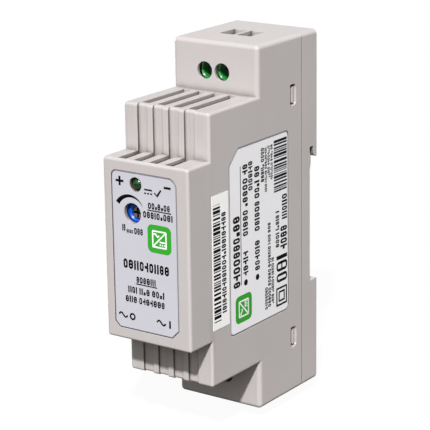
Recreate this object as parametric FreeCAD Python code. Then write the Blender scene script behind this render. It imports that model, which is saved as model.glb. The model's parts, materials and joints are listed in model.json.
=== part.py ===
import FreeCAD, Part

import math
import os

from FreeCAD import Vector

# Power supply for a 35 mm top-hat rail, in millimetres.
# Frame: X to the right as seen from the front, Y towards the rail, Z up.
# Origin: on the rail's centreline, at mid-width, on the face that rests on the rail.

# ---- case ----------------------------------------------------------------------------------
HALF_WIDTH = 12.5
Z_BOTTOM, Z_TOP = -45.5, 47.5
Z_MID = (Z_BOTTOM + Z_TOP) / 2
Y_REAR = 4.0
Y_PARTING = -3.9
Y_TERMINAL = -23.3
Y_SHOULDER = -43.7
Y_CAP = -52.4
Z_SHOULDER_LOW, Z_SHOULDER_HIGH = -33.0, 35.0
Z_CAP_LOW, Z_CAP_HIGH = -21.5, 23.5
EDGE_R, TERMINAL_EDGE_R = 0.7, 1.1
WALL = 1.6
CAP_WALL = 1.2
SEAM_WIDTH, SEAM_DEPTH = 0.2, 0.12
INSIDE_X = HALF_WIDTH - WALL
Z_IN_LOW, Z_IN_HIGH = Z_BOTTOM + WALL, Z_TOP - WALL

# ---- rail recess and hook --------------------------------------------------------------------
RAIL_HALF = 17.5
NOTCH_TOP = RAIL_HALF + 0.3
FOOT_TOP = -RAIL_HALF - 0.2
NOTCH_DEPTH = 1.6
HOOK_TIP = 14.8
RIB_CENTRE, RIB_HALF, RIB_HEIGHT = 14.2, 2.3, 0.45
SEAT_WALL = 1.6

# ---- ventilation -----------------------------------------------------------------------------
VENT_PITCH, VENT_WIDTH, VENTS_CENTRE = 4.57, 2.3, -0.45
VENT_X = [VENTS_CENTRE + VENT_PITCH * (i - 1.5) for i in range(4)]
VENT_SETBACK, CAP_VENT_SETBACK = 1.9, 0.85
VENT_REAR_GAP = 1.5
VENT_POCKET_X = 9.4
LEDGE_WALL = 0.8
GROOVE_WIDTH, GROOVE_DEPTH = 3.0, 0.6

# ---- terminals -------------------------------------------------------------------------------
POLE_PITCH = 5.08
POLES_CENTRE = -0.55
POLE_X = [POLES_CENTRE - POLE_PITCH / 2, POLES_CENTRE + POLE_PITCH / 2]
SCREW_Z = 40.0
ACCESS_R, ACCESS_WALL = 2.2, 0.8
WIRE_HALF_X = 2.05
WIRE_Y0, WIRE_Y1 = -13.9, -7.2
BLOCK_FRONT = -21.4
BLOCK_Z0, BLOCK_Z1 = 34.6, 45.7
WELL_R, WELL_FUNNEL = 2.1, 0.35
HEAD_R, HEAD_FRONT, HEAD_SEAT = 1.9, -17.4, -15.6
SHANK_R, SHANK_END = 1.5, -11.5
CHAMBER_FRONT = -14.8
CHAMBER_HALF_X, CHAMBER_HALF_Z = 2.1, 2.8
CAGE_FRONT, CAGE_REAR = -12.6, -7.4
CAGE_HALF_X, CAGE_HALF_Z = 1.95, 2.5
CAGE_WINDOW_FRONT, CAGE_WINDOW_REAR = -11.4, -8.2
RUNNING_FIT = 0.05
CAGE_WINDOW_HALF_X = SHANK_R + RUNNING_FIT
BAR_FRONT, BAR_REAR, BAR_HALF_X = -11.3, -10.5, 1.2

# ---- front panel -----------------------------------------------------------------------------
LABEL_X0, LABEL_X1 = -9.9, 9.05
LABEL_Z0, LABEL_Z1 = -18.5, 20.6
LABEL_RECESS, LABEL_THICK, LABEL_GAP = 0.25, 0.2, 0.14
LED_X, LED_Z, LED_HOLE_R = -2.85, 17.8, 1.75
TRIM_X, TRIM_Z, TRIM_HOLE_R = -3.95, 10.6, 2.5

# ---- side label and sticker ------------------------------------------------------------------
SIDE_Y0, SIDE_Y1 = -35.8, -10.1
SIDE_Z0, SIDE_Z1 = -22.2, 24.2
STICKER_Y0, STICKER_Y1 = -43.2, -36.4
STICKER_Z0, STICKER_Z1 = -18.6, 14.9
STICKER_THICK = 0.1

# ---- snap windows ----------------------------------------------------------------------------
SNAP_Y0, SNAP_Y1 = -9.05, -6.9
SNAP_HALF_Z, SNAP_BEVEL = 2.45, 0.5
SNAP_SLIT, SNAP_CATCH = 1.15, 4.1
SNAP_Z = [32.7, 2 * Z_MID - 32.7]

# ---- rail clip -------------------------------------------------------------------------------
CHANNEL_FLOOR = 0.9
GUIDE_HALF, GUIDE_REAR, GUIDE_TOP = 8.2, 2.6, -18.9
SLOT_HALF = 6.8
CLIP_GAP = 0.15
CLIP_REAR = 3.9
CLIP_TOP = -14.9
CLIP_TAB = 3.5
SPRING_Y, SPRING_R, SPRING_WIRE = 1.9, 1.7, 0.5
SPRING_Z0, SPRING_Z1, SPRING_TURNS = -38.2, -24.2, 7
POST_THICK, PEG_R = 1.6, 1.1

# ---- boards ----------------------------------------------------------------------------------
BOARD_FRONT, BOARD_REAR = -6.8, -5.2
BOARD_HALF_X = 10.4
BOARD_Z0, BOARD_Z1 = -43.4, 45.4
LEAD_END = BOARD_REAR + 1.2
RISER_X0, RISER_X1 = -9.1, -7.5
RISER_Y0, RISER_Y1 = -49.6, -8.2
RISER_Z0, RISER_Z1 = 4.2, 21.6
HEADER_Z = [6.5 + 2.0 * i for i in range(6)]
HEADER_X = -6.6

INDUCTOR_X, INDUCTOR_Z = 8.0, 29.2
INDUCTOR_R, INDUCTOR_POST_R = 1.5, 0.8

# Through-hole leads: the part, then the (x, z) of each lead.
LEADS = {
    "bulk_capacitor": [(1.5, -1.5), (6.5, -1.5)],
    "output_capacitors": [(-7.15, 29.2), (-3.65, 29.2), (0.75, 29.2), (4.25, 29.2)],
    "fuse": [(-7.85, -27.0), (-2.75, -27.0)],
    "surge_varistor": [(1.7, -29.5), (6.7, -29.5)],
    "inrush_thermistor": [(1.7, -24.9), (6.7, -24.9)],
    "x_capacitor": [(-7.4, -20.0), (-7.4, -10.0)],
    "y_capacitor": [(3.9, 23.4), (8.9, 23.4)],
    "power_switch": [(-7.6, -4.5), (-7.6, -2.0), (-7.6, 0.5)],
    "output_inductor": [(INDUCTOR_X, INDUCTOR_Z - 1.0), (INDUCTOR_X, INDUCTOR_Z + 1.0)],
    "output_diode": [(-5.4, 23.4), (1.6, 23.4)],
}
LEAD_R = 0.35

# ---- transformer and choke -------------------------------------------------------------------
CORE_X, CORE_Y, CORE_Z = 2.4, -17.5, 14.0
CORE_WIDTH, CORE_HEIGHT, CORE_THICK = 16.0, 16.0, 5.0
CORE_LIMB = 3.2
CENTRE_LIMB = 4.6
BOBBIN_FLANGE = 1.0
BOBBIN_HALF_Z = 7.0
CHOKE_X, CHOKE_Y, CHOKE_Z = 3.4, -11.6, -15.2
CHOKE_R, CHOKE_CORE_R, CHOKE_WIRE_R = 4.7, 1.6, 0.45


def box(x0, x1, y0, y1, z0, z1):
    return Part.makeBox(x1 - x0, y1 - y0, z1 - z0, Vector(x0, y0, z0))


def rod_x(x0, x1, y, z, r):
    return Part.makeCylinder(r, x1 - x0, Vector(x0, y, z), Vector(1, 0, 0))


def rod_y(x, y0, y1, z, r):
    return Part.makeCylinder(r, y1 - y0, Vector(x, y0, z), Vector(0, 1, 0))


def rod_z(x, y, z0, z1, r):
    return Part.makeCylinder(r, z1 - z0, Vector(x, y, z0), Vector(0, 0, 1))


def join(shapes):
    return shapes[0].multiFuse(shapes[1:]).removeSplitter() if len(shapes) > 1 else shapes[0]


def cut(shape, tools):
    return shape.cut(Part.makeCompound(tools))


def flip(shape):
    """Mirror an upper part to the lower half of the case."""
    return shape.mirror(Vector(0, 0, Z_MID), Vector(0, 0, 1))


def soften(shape, radius, wanted):
    """Round the straight edges for which wanted(centre, direction) is true."""
    edges = []
    for edge in shape.Edges:
        ends = [v.Point for v in edge.Vertexes]
        if len(ends) == 2 and wanted(edge.CenterOfMass, (ends[1] - ends[0]).normalize()):
            edges.append(edge)
    return shape.makeFillet(radius, edges)


def outline(corners, place):
    """Closed wire through corners (u, v, size, style); style 'arc' rounds, 'cut' bevels."""
    edges, first, previous = [], None, None
    count = len(corners)
    for i, (u, v, size, style) in enumerate(corners):
        here = Vector(u, v, 0)
        back = (Vector(*corners[i - 1][:2], 0) - here).normalize()
        ahead = (Vector(*corners[(i + 1) % count][:2], 0) - here).normalize()
        start, end = here + back * size, here + ahead * size
        if previous is not None:
            edges.append(Part.makeLine(place(previous), place(start)))
        if style == "arc":
            middle = here + (back + ahead) * size * (1 - 1 / math.sqrt(2))
            edges.append(Part.Arc(place(start), place(middle), place(end)).toShape())
        else:
            edges.append(Part.makeLine(place(start), place(end)))
        first = first or start
        previous = end
    edges.append(Part.makeLine(place(previous), place(first)))
    return Part.Wire(edges)


def on_front(y):
    return lambda p: Vector(p.x, y, p.y)


def on_side(x):
    return lambda p: Vector(x, p.x, p.y)


def grown(corners, amount):
    """The same outline moved outwards by amount on every side."""
    mid_u = sum(c[0] for c in corners) / len(corners)
    mid_v = sum(c[1] for c in corners) / len(corners)
    return [
        (u + math.copysign(amount, u - mid_u), v + math.copysign(amount, v - mid_v), size, style)
        for u, v, size, style in corners
    ]


FRONT_CORNERS = [
    (LABEL_X0, LABEL_Z0, 1.35, "cut"),
    (LABEL_X1, LABEL_Z0, 2.0, "cut"),
    (LABEL_X1, LABEL_Z1, 2.4, "arc"),
    (LABEL_X0, LABEL_Z1, 1.5, "arc"),
]
SIDE_CORNERS = [
    (SIDE_Y0, SIDE_Z0, 1.3, "arc"),
    (SIDE_Y1, SIDE_Z0, 1.3, "arc"),
    (SIDE_Y1, SIDE_Z1, 1.3, "arc"),
    (SIDE_Y0, SIDE_Z1, 3.7, "cut"),
]


# ---- case ------------------------------------------------------------------------------------
def rounded_block(y0, y1, z0, z1, radius):
    """One step of the case with every outer edge rounded."""
    block = box(-HALF_WIDTH, HALF_WIDTH, y0, y1, z0, z1)
    return block.makeFillet(radius, block.Edges)


def outer_body():
    tall = rounded_block(Y_TERMINAL, Y_REAR, Z_BOTTOM, Z_TOP, TERMINAL_EDGE_R)
    hidden_rear = Y_REAR - 2 * TERMINAL_EDGE_R
    shoulder = rounded_block(Y_SHOULDER, hidden_rear, Z_SHOULDER_LOW, Z_SHOULDER_HIGH, EDGE_R)
    cap = rounded_block(Y_CAP, hidden_rear, Z_CAP_LOW, Z_CAP_HIGH, EDGE_R)
    return join([tall, shoulder, cap]).cut(rail_recess())


def rail_recess():
    """Space for the rail: foot shoulder, flat seat, gripping rib, and the notch behind the hook."""
    far = Y_REAR + 2
    r = 1.0
    k = r * (1 - 1 / math.sqrt(2))
    lip = 0.3
    flank_top = 16.6

    def p(y, z):
        return Vector(-HALF_WIDTH, y, z)

    def line(a, b):
        return Part.makeLine(p(*a), p(*b))

    def arc(a, b, c):
        return Part.Arc(p(*a), p(*b), p(*c)).toShape()

    edges = [
        line((0, FOOT_TOP), (Y_REAR - r, FOOT_TOP)),
        arc((Y_REAR - r, FOOT_TOP), (Y_REAR - k, FOOT_TOP - k), (Y_REAR, FOOT_TOP - r)),
        line((Y_REAR, FOOT_TOP - r), (far, FOOT_TOP - r)),
        line((far, FOOT_TOP - r), (far, HOOK_TIP + r)),
        line((far, HOOK_TIP + r), (Y_REAR, HOOK_TIP + r)),
        arc((Y_REAR, HOOK_TIP + r), (Y_REAR - k, HOOK_TIP + k), (Y_REAR - r, HOOK_TIP)),
        arc((Y_REAR - r, HOOK_TIP), (NOTCH_DEPTH + 0.4, HOOK_TIP + 0.6), (NOTCH_DEPTH, flank_top)),
        line((NOTCH_DEPTH, flank_top), (NOTCH_DEPTH, NOTCH_TOP - lip)),
        line((NOTCH_DEPTH, NOTCH_TOP - lip), (NOTCH_DEPTH - lip, NOTCH_TOP)),
        line((NOTCH_DEPTH - lip, NOTCH_TOP), (lip, NOTCH_TOP)),
        line((lip, NOTCH_TOP), (0, NOTCH_TOP - lip)),
        line((0, NOTCH_TOP - lip), (0, RIB_CENTRE + RIB_HALF)),
        arc((0, RIB_CENTRE + RIB_HALF), (RIB_HEIGHT, RIB_CENTRE), (0, RIB_CENTRE - RIB_HALF)),
        line((0, RIB_CENTRE - RIB_HALF), (0, FOOT_TOP)),
    ]
    return Part.Face(Part.Wire(edges)).extrude(Vector(2 * HALF_WIDTH, 0, 0))


def seam_groove():
    """Fine line down both side faces where the two halves meet."""
    outer = box(-HALF_WIDTH - 1, HALF_WIDTH + 1, Y_PARTING - SEAM_WIDTH / 2,
                Y_PARTING + SEAM_WIDTH / 2, Z_BOTTOM - 1, Z_TOP + 1)
    inner = box(-HALF_WIDTH + SEAM_DEPTH, HALF_WIDTH - SEAM_DEPTH, Y_PARTING - 1, Y_PARTING + 1,
                Z_BOTTOM - 2, Z_TOP + 2)
    return outer.cut(inner)


def inner_hollow():
    """Space inside the case; the ledges are thinner where the vent slots pass through them."""
    x0, x1 = -INSIDE_X, INSIDE_X
    pocket = VENT_POCKET_X
    return join([
        box(x0, x1, Y_TERMINAL + WALL, Y_PARTING + 1, Z_IN_LOW, Z_IN_HIGH),
        box(x0, x1, Y_SHOULDER + WALL, Y_PARTING + 1, Z_SHOULDER_LOW + WALL, Z_SHOULDER_HIGH - WALL),
        box(x0, x1, Y_CAP + CAP_WALL, Y_PARTING + 1, Z_CAP_LOW + WALL, Z_CAP_HIGH - WALL),
        box(-pocket, pocket, Y_SHOULDER + WALL, Y_TERMINAL - 0.5,
            Z_SHOULDER_LOW + LEDGE_WALL, Z_SHOULDER_HIGH - LEDGE_WALL),
        box(-pocket, pocket, Y_CAP + CAP_WALL, Y_SHOULDER - 0.5,
            Z_CAP_LOW + LEDGE_WALL, Z_CAP_HIGH - LEDGE_WALL),
    ])


def vents():
    """Slots through both upper ledges, joined by a wider groove down the face between them."""
    groove_floor = Y_SHOULDER + GROOVE_DEPTH
    behind = box(-HALF_WIDTH, HALF_WIDTH, groove_floor, Y_TERMINAL, Z_CAP_LOW, Z_SHOULDER_HIGH)
    behind = soften(behind, EDGE_R, lambda c, d: c.y < groove_floor + 0.1 and c.z > Z_SHOULDER_HIGH - 0.1)
    tools = []
    for x in VENT_X:
        x0, x1 = x - VENT_WIDTH / 2, x + VENT_WIDTH / 2
        tools.append(box(x0, x1, Y_SHOULDER + VENT_SETBACK, Y_TERMINAL - VENT_REAR_GAP,
                         Z_SHOULDER_HIGH - 2 * WALL, Z_SHOULDER_HIGH + 1))
        tools.append(box(x0, x1, Y_CAP + CAP_VENT_SETBACK, groove_floor,
                         Z_CAP_HIGH - 2 * WALL, Z_CAP_HIGH + 1))
        groove = box(x0, x0 + GROOVE_WIDTH, Y_SHOULDER - 1, groove_floor + EDGE_R,
                     Z_CAP_HIGH, Z_SHOULDER_HIGH + 1)
        tools.append(groove.cut(behind))
    return tools + [flip(tool) for tool in tools]


def terminal_openings():
    """Screwdriver holes in a thinned part of the front wall, and the wire windows."""
    reach = ACCESS_R + 0.3
    tools = [box(POLE_X[0] - reach, POLE_X[1] + reach, Y_TERMINAL + ACCESS_WALL, Y_TERMINAL + 2 * WALL,
                 SCREW_Z - reach, SCREW_Z + reach)]
    for x in POLE_X:
        tools.append(rod_y(x, Y_TERMINAL - 1, Y_TERMINAL + 2 * WALL, SCREW_Z, ACCESS_R))
        tools.append(box(x - WIRE_HALF_X, x + WIRE_HALF_X, WIRE_Y0, WIRE_Y1, Z_IN_HIGH - 1, Z_TOP + 1))
    return tools + [flip(tool) for tool in tools]


def snap_windows():
    """Windows in both side walls with a bevelled, round-cornered rear edge."""
    tools = []
    for side in (-1, 1):
        for z in SNAP_Z:
            tools.append(box(min(side * 10, side * 13), max(side * 10, side * 13),
                             SNAP_Y0, SNAP_Y1, z - SNAP_HALF_Z, z + SNAP_HALF_Z))
            wide = SNAP_HALF_Z + 0.3
            mouth = [
                (SNAP_Y0, z - wide, 0.1, "arc"),
                (SNAP_Y1 + SNAP_BEVEL, z - wide, 1.1, "arc"),
                (SNAP_Y1 + SNAP_BEVEL, z + wide, 1.1, "arc"),
                (SNAP_Y0, z + wide, 0.1, "arc"),
            ]
            throat = [
                (SNAP_Y0, z - SNAP_HALF_Z, 0.1, "arc"),
                (SNAP_Y1, z - SNAP_HALF_Z, 0.7, "arc"),
                (SNAP_Y1, z + SNAP_HALF_Z, 0.7, "arc"),
                (SNAP_Y0, z + SNAP_HALF_Z, 0.1, "arc"),
            ]
            outer = outline(mouth, on_side(side * (HALF_WIDTH + 0.01)))
            inner = outline(throat, on_side(side * (HALF_WIDTH - 0.7)))
            tools.append(Part.makeLoft([outer, inner], True))
    return tools


def label_recess(corners, place, direction):
    face = Part.Face(outline(grown(corners, LABEL_GAP), place))
    return face.extrude(direction)


def board_ledges():
    """Ledges inside the side walls that the main board is pressed against."""
    ledges = []
    for side in (-1, 1):
        x0, x1 = sorted((side * (INSIDE_X - 1.3), side * (INSIDE_X + 0.2)))
        for z in (38.0, 2 * Z_MID - 38.0):
            ledges.append(box(x0, x1, BOARD_FRONT - 1.4, BOARD_FRONT - RUNNING_FIT, z - 1.2, z + 1.2))
    return ledges


def front_housing():
    front_half = box(-20, 20, Y_CAP - 1, Y_PARTING, Z_BOTTOM - 1, Z_TOP + 1)
    shell = outer_body().common(front_half).cut(inner_hollow())
    shell = join([shell] + board_ledges())
    tools = vents() + terminal_openings() + snap_windows() + [seam_groove()]
    tools.append(label_recess(FRONT_CORNERS, on_front(Y_CAP), Vector(0, LABEL_RECESS, 0)))
    tools.append(label_recess(SIDE_CORNERS, on_side(HALF_WIDTH), Vector(-LABEL_RECESS, 0, 0)))
    tools.append(rod_y(LED_X, Y_CAP - 1, Y_CAP + 2 * CAP_WALL, LED_Z, LED_HOLE_R))
    tools.append(rod_y(TRIM_X, Y_CAP - 1, Y_CAP + 2 * CAP_WALL, TRIM_Z, TRIM_HOLE_R))
    for tool in tools:
        shell = shell.cut(tool)
    return shell


def snap_tabs():
    """Four spring tabs whose catches sit in the housing's side windows, with a slit in front."""
    tabs = []
    for side in (-1, 1):
        for z in SNAP_Z:
            x_in, x_out = side * (INSIDE_X - 1.3), side * (INSIDE_X - 0.1)
            tabs.append(box(min(x_in, x_out), max(x_in, x_out), SNAP_Y0 - 0.3, Y_PARTING + 1.0,
                            z - 2.3, z + 2.3))
            tip, low = side * (HALF_WIDTH - 0.35), z - SNAP_CATCH / 2
            front, rear = SNAP_Y0 + SNAP_SLIT, SNAP_Y1 - 0.1
            catch = Part.makePolygon([
                Vector(x_out, front, low), Vector(tip - side * 0.3, front, low),
                Vector(tip, front + 0.3, low), Vector(tip, rear, low),
                Vector(x_out, rear, low), Vector(x_out, front, low)])
            tabs.append(Part.Face(catch).extrude(Vector(0, 0, SNAP_CATCH)))
    return tabs


def clip_channel():
    """Guide for the rail clip, open at the foot's lower end."""
    below = Z_BOTTOM - 1
    return [
        box(-GUIDE_HALF, GUIDE_HALF, CHANNEL_FLOOR, GUIDE_REAR, below, GUIDE_TOP),
        box(-SLOT_HALF, SLOT_HALF, CHANNEL_FLOOR, Y_REAR + 1, below, FOOT_TOP + 1),
        box(-SPRING_R - 0.5, SPRING_R + 0.5, -0.3, CHANNEL_FLOOR + 0.1, SPRING_Z0, SPRING_Z1 + 0.2),
    ]


def rear_cover():
    rear_half = box(-20, 20, Y_PARTING, Y_REAR + 1, Z_BOTTOM - 1, Z_TOP + 1)
    body = outer_body().common(rear_half).cut(seam_groove())
    x0, x1 = -INSIDE_X, INSIDE_X
    hollows = [
        box(x0, x1, Y_PARTING - 1, Y_REAR - WALL, NOTCH_TOP + 1.8, Z_IN_HIGH),
        box(x0, x1, Y_PARTING - 1, -SEAT_WALL, FOOT_TOP, NOTCH_TOP + 2),
        box(x0, x1, Y_PARTING - 1, -1.2, Z_IN_LOW, FOOT_TOP + 1),
    ]
    body = cut(body, hollows)
    lip_x, lip_z0, lip_z1 = INSIDE_X - 0.1, Z_IN_LOW + 0.1, Z_IN_HIGH - 0.1
    lip = box(-lip_x, lip_x, BOARD_REAR + RUNNING_FIT, Y_PARTING + 1.0, lip_z0, lip_z1)
    lip = lip.cut(box(-lip_x + 1.2, lip_x - 1.2, -20, 0, lip_z0 + 1.2, lip_z1 - 1.2))
    root = box(-INSIDE_X - 0.1, INSIDE_X + 0.1, Y_PARTING, Y_PARTING + 1.0,
               Z_IN_LOW - 0.1, Z_IN_HIGH + 0.1)
    root = root.cut(box(-lip_x + 1.2, lip_x - 1.2, -20, 0, lip_z0 + 1.2, lip_z1 - 1.2))
    body = join([body, lip, root] + snap_tabs())
    body = cut(body, clip_channel())
    post = box(-2.0, 2.0, CHANNEL_FLOOR - 0.1, Y_REAR - 0.4, SPRING_Z0 - POST_THICK, SPRING_Z0)
    peg = rod_z(0, SPRING_Y, SPRING_Z0 - 0.1, SPRING_Z0 + 1.6, PEG_R)
    return join([body, post, peg])


def rail_clip():
    """Sliding foot: guide flanges, tooth behind the rail, spring window and pull tab."""
    z_low = Z_BOTTOM - CLIP_TAB
    front = CHANNEL_FLOOR + 0.1
    half = SLOT_HALF - CLIP_GAP
    tooth_front = 1.25
    shank = box(-half, half, front, CLIP_REAR, z_low, FOOT_TOP - 0.2)
    shank = soften(shank, 1.2, lambda c, d: abs(d.y) > 0.9 and c.z < z_low + 1)
    flange = box(-GUIDE_HALF + CLIP_GAP, GUIDE_HALF - CLIP_GAP, front, GUIDE_REAR - 0.1,
                 -40.0, GUIDE_TOP - 0.1)
    profile = Part.makePolygon([
        Vector(-half, tooth_front, FOOT_TOP - 0.3), Vector(-half, CLIP_REAR, FOOT_TOP - 0.3),
        Vector(-half, CLIP_REAR, FOOT_TOP + 1.0), Vector(-half, tooth_front + 0.4, CLIP_TOP),
        Vector(-half, tooth_front, CLIP_TOP), Vector(-half, tooth_front, FOOT_TOP - 0.3)])
    tooth = Part.Face(profile).extrude(Vector(2 * half, 0, 0))
    clip = join([shank, flange, tooth])
    clip = clip.cut(box(-2.6, 2.6, 0, Y_REAR + 1, -44.2, SPRING_Z1))
    clip = clip.cut(box(-2.8, 2.8, 0, Y_REAR + 1, z_low + 1.3, z_low + 2.6))
    peg = rod_z(0, SPRING_Y, SPRING_Z1 - 1.5, SPRING_Z1 + 0.1, PEG_R)
    return join([clip, peg])


def clip_spring():
    height = SPRING_Z1 - SPRING_Z0 - SPRING_WIRE
    helix = Part.makeHelix(height / SPRING_TURNS, height, SPRING_R)
    section = Part.Wire(Part.makeCircle(SPRING_WIRE / 2, Vector(SPRING_R, 0, 0), Vector(0, 1, 0)))
    coil = Part.Wire(helix).makePipeShell([section], True, True)
    coil.translate(Vector(0, SPRING_Y, SPRING_Z0 + SPRING_WIRE / 2))
    return coil


def front_label():
    sheet = Part.Face(outline(FRONT_CORNERS, on_front(Y_CAP + LABEL_RECESS)))
    sheet = sheet.extrude(Vector(0, -LABEL_THICK, 0))
    holes = [rod_y(LED_X, Y_CAP - 1, Y_CAP + 1, LED_Z, LED_HOLE_R + 0.05),
             rod_y(TRIM_X, Y_CAP - 1, Y_CAP + 1, TRIM_Z, TRIM_HOLE_R + 0.05)]
    return cut(sheet, holes)


def side_label():
    sheet = Part.Face(outline(SIDE_CORNERS, on_side(HALF_WIDTH - LABEL_RECESS)))
    return sheet.extrude(Vector(LABEL_THICK, 0, 0))


def serial_sticker():
    return box(HALF_WIDTH, HALF_WIDTH + STICKER_THICK, STICKER_Y0, STICKER_Y1, STICKER_Z0, STICKER_Z1)


# ---- terminals -------------------------------------------------------------------------------
def terminal_block():
    """Two-pole screw terminal for the upper end; the lower one is its mirror image."""
    x0, x1 = POLES_CENTRE - POLE_PITCH, POLES_CENTRE + POLE_PITCH
    block = box(x0, x1, BLOCK_FRONT, BOARD_FRONT, BLOCK_Z0, BLOCK_Z1)
    block = soften(block, 0.6, lambda c, d: c.y < BLOCK_FRONT + 0.1)
    tools = []
    for x in POLE_X:
        tools.append(rod_y(x, BLOCK_FRONT - 1, HEAD_SEAT, SCREW_Z, WELL_R))
        tools.append(Part.makeCone(WELL_R + WELL_FUNNEL, WELL_R, WELL_FUNNEL,
                                   Vector(x, BLOCK_FRONT, SCREW_Z), Vector(0, 1, 0)))
        tools.append(rod_y(x, HEAD_SEAT - 1, CHAMBER_FRONT + 1, SCREW_Z, SHANK_R + 0.2))
        tools.append(box(x - CHAMBER_HALF_X, x + CHAMBER_HALF_X, CHAMBER_FRONT, BOARD_FRONT - 0.4,
                         SCREW_Z - CHAMBER_HALF_Z, SCREW_Z + CHAMBER_HALF_Z))
        tools.append(box(x - 1.7, x + 1.7, -12.8, -7.8, SCREW_Z, BLOCK_Z1 + 1))
    return cut(block, tools + contacts())


def contacts():
    """Contact bars with their board pins."""
    bars = []
    for x in POLE_X:
        bar = box(x - BAR_HALF_X, x + BAR_HALF_X, BAR_FRONT, BAR_REAR, 35.6, SCREW_Z + 2.6)
        pin = box(x - 0.5, x + 0.5, BAR_FRONT, LEAD_END, 35.6, 36.4)
        bars.append(join([bar, pin]))
    return bars


def clamp_cage(x):
    cage = box(x - CAGE_HALF_X, x + CAGE_HALF_X, CAGE_FRONT, CAGE_REAR,
               SCREW_Z - CAGE_HALF_Z, SCREW_Z + CAGE_HALF_Z)
    cage = soften(cage, 0.5, lambda c, d: abs(d.z) > 0.9)
    window = box(x - CAGE_WINDOW_HALF_X, x + CAGE_WINDOW_HALF_X, CAGE_WINDOW_FRONT,
                 CAGE_WINDOW_REAR, SCREW_Z - 5, SCREW_Z + 5)
    thread = rod_y(x, CAGE_FRONT - 1, CAGE_WINDOW_FRONT + 1, SCREW_Z, SHANK_R + RUNNING_FIT)
    return cut(cage, [window, thread])


def terminal_screw(x):
    head = rod_y(x, HEAD_FRONT, HEAD_SEAT, SCREW_Z, HEAD_R)
    rim = [edge for edge in head.Edges if edge.CenterOfMass.y < HEAD_FRONT + 0.01 and edge.Closed]
    head = head.makeFillet(0.25, rim)
    shank = rod_y(x, HEAD_SEAT - 0.1, SHANK_END, SCREW_Z, SHANK_R)
    return cut(join([head, shank]), cross_slot(x, SCREW_Z, HEAD_FRONT, 2.6, 0.6, 0.9))


def cross_slot(x, z, y_front, length, width, depth):
    half, thin = length / 2, width / 2
    return [
        box(x - half, x + half, y_front - 1, y_front + depth, z - thin, z + thin),
        box(x - thin, x + thin, y_front - 1, y_front + depth, z - half, z + half),
    ]


# ---- boards ----------------------------------------------------------------------------------
def leads(node, y_front):
    return [rod_y(x, y_front, LEAD_END, z, LEAD_R) for x, z in LEADS[node]]


def transformer_pin_places():
    return [(CORE_X + dx, CORE_Z + side * (BOBBIN_HALF_Z - 0.8))
            for side in (-1, 1) for dx in (-5.0, -2.5, 0.0, 2.5, 5.0)]


def choke_pin_places():
    return [(CHOKE_X + dx, CHOKE_Z + dz) for dx in (-4.0, 4.0) for dz in (-4.2, 4.2)]


def main_board():
    board = box(-BOARD_HALF_X, BOARD_HALF_X, BOARD_FRONT, BOARD_REAR, BOARD_Z0, BOARD_Z1)
    notches = []
    for side in (-1, 1):
        for z in SNAP_Z:
            x0, x1 = sorted((side * (INSIDE_X - 1.5), side * (INSIDE_X + 1)))
            notches.append(box(x0, x1, -10, 0, z - 2.7, z + 2.7))
    places = sum(LEADS.values(), []) + transformer_pin_places() + choke_pin_places()
    holes = [rod_y(x, BOARD_FRONT - 1, BOARD_REAR + 1, z, LEAD_R + 0.1) for x, z in places]
    holes += [box(HEADER_X - 0.35, HEADER_X + 0.35, BOARD_FRONT - 1, BOARD_REAR + 1, z - 0.35, z + 0.35)
              for z in HEADER_Z]
    for x in POLE_X:
        pin = box(x - 0.6, x + 0.6, BOARD_FRONT - 1, BOARD_REAR + 1, 35.5, 36.5)
        holes += [pin, flip(pin)]
    return cut(board, notches + holes)


def insulation_sheet():
    return box(-9.3, 9.3, -3.4, -3.1, -42.0, 44.0)


def riser_board():
    board = box(RISER_X0, RISER_X1, RISER_Y0, RISER_Y1, RISER_Z0, RISER_Z1)
    holes = [box(-12, 0, -9.4, -8.8, z - 0.35, z + 0.35) for z in HEADER_Z]
    holes += [rod_x(-12, 0, y, z, 0.4) for y, z in trimmer_pin_places()]
    holes += [box(-12, 0, -44.6, -43.9, z - 0.35, z + 0.35) for z in led_lead_places()]
    holes += [rod_x(-12, 0, y, z, 0.4) for y, z in opto_pin_places()]
    return cut(board, holes)


def riser_header():
    """Right-angle pins that carry the riser board on the main board."""
    base = box(RISER_X1, HEADER_X + 0.7, -10.3, BOARD_FRONT, HEADER_Z[0] - 1, HEADER_Z[-1] + 1)
    pins = []
    for z in HEADER_Z:
        across = box(RISER_X0 - 0.8, HEADER_X, -9.35, -8.85, z - 0.25, z + 0.25)
        down = box(HEADER_X - 0.25, HEADER_X + 0.25, -9.35, LEAD_END, z - 0.25, z + 0.25)
        pins.append(join([across, down]))
    return join([base] + pins)


def opto_pin_places():
    return [(y, z) for y in (-33.3, -30.7) for z in (9.2, 16.8)]


def optocoupler():
    body = box(RISER_X1 + 0.5, RISER_X1 + 4.0, -34.3, -29.7, 9.9, 16.1)
    body = soften(body, 0.3, lambda c, d: c.x > RISER_X1 + 3.9)
    pins = []
    for y, z in opto_pin_places():
        toe = box(RISER_X1 + 1.6, RISER_X1 + 2.0, y - 0.25, y + 0.25, min(z, 13), max(z, 13))
        leg = box(RISER_X0 - 0.8, RISER_X1 + 2.0, y - 0.25, y + 0.25, z - 0.2, z + 0.2)
        pins += [toe, leg]
    return join([body] + pins)


def control_ic():
    body = box(-5.0, -1.1, BOARD_REAR + 0.1, BOARD_REAR + 1.5, -9.0, -4.1)
    pins = [box(x0, x1, BOARD_REAR, BOARD_REAR + 0.5, -8.45 + 1.27 * i - 0.2, -8.45 + 1.27 * i + 0.2)
            for x0, x1 in ((-6.0, -4.9), (-1.2, -0.1)) for i in range(4)]
    return join([body] + pins)


def bridge_rectifier():
    body = box(-6.2, -2.2, BOARD_REAR + 0.1, BOARD_REAR + 1.5, -18.5, -12.0)
    pins = [box(x0, x1, BOARD_REAR, BOARD_REAR + 0.5, z - 0.5, z + 0.5)
            for x0, x1 in ((-7.2, -6.1), (-2.3, -1.2)) for z in (-17.1, -13.4)]
    return join([body] + pins)


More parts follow.
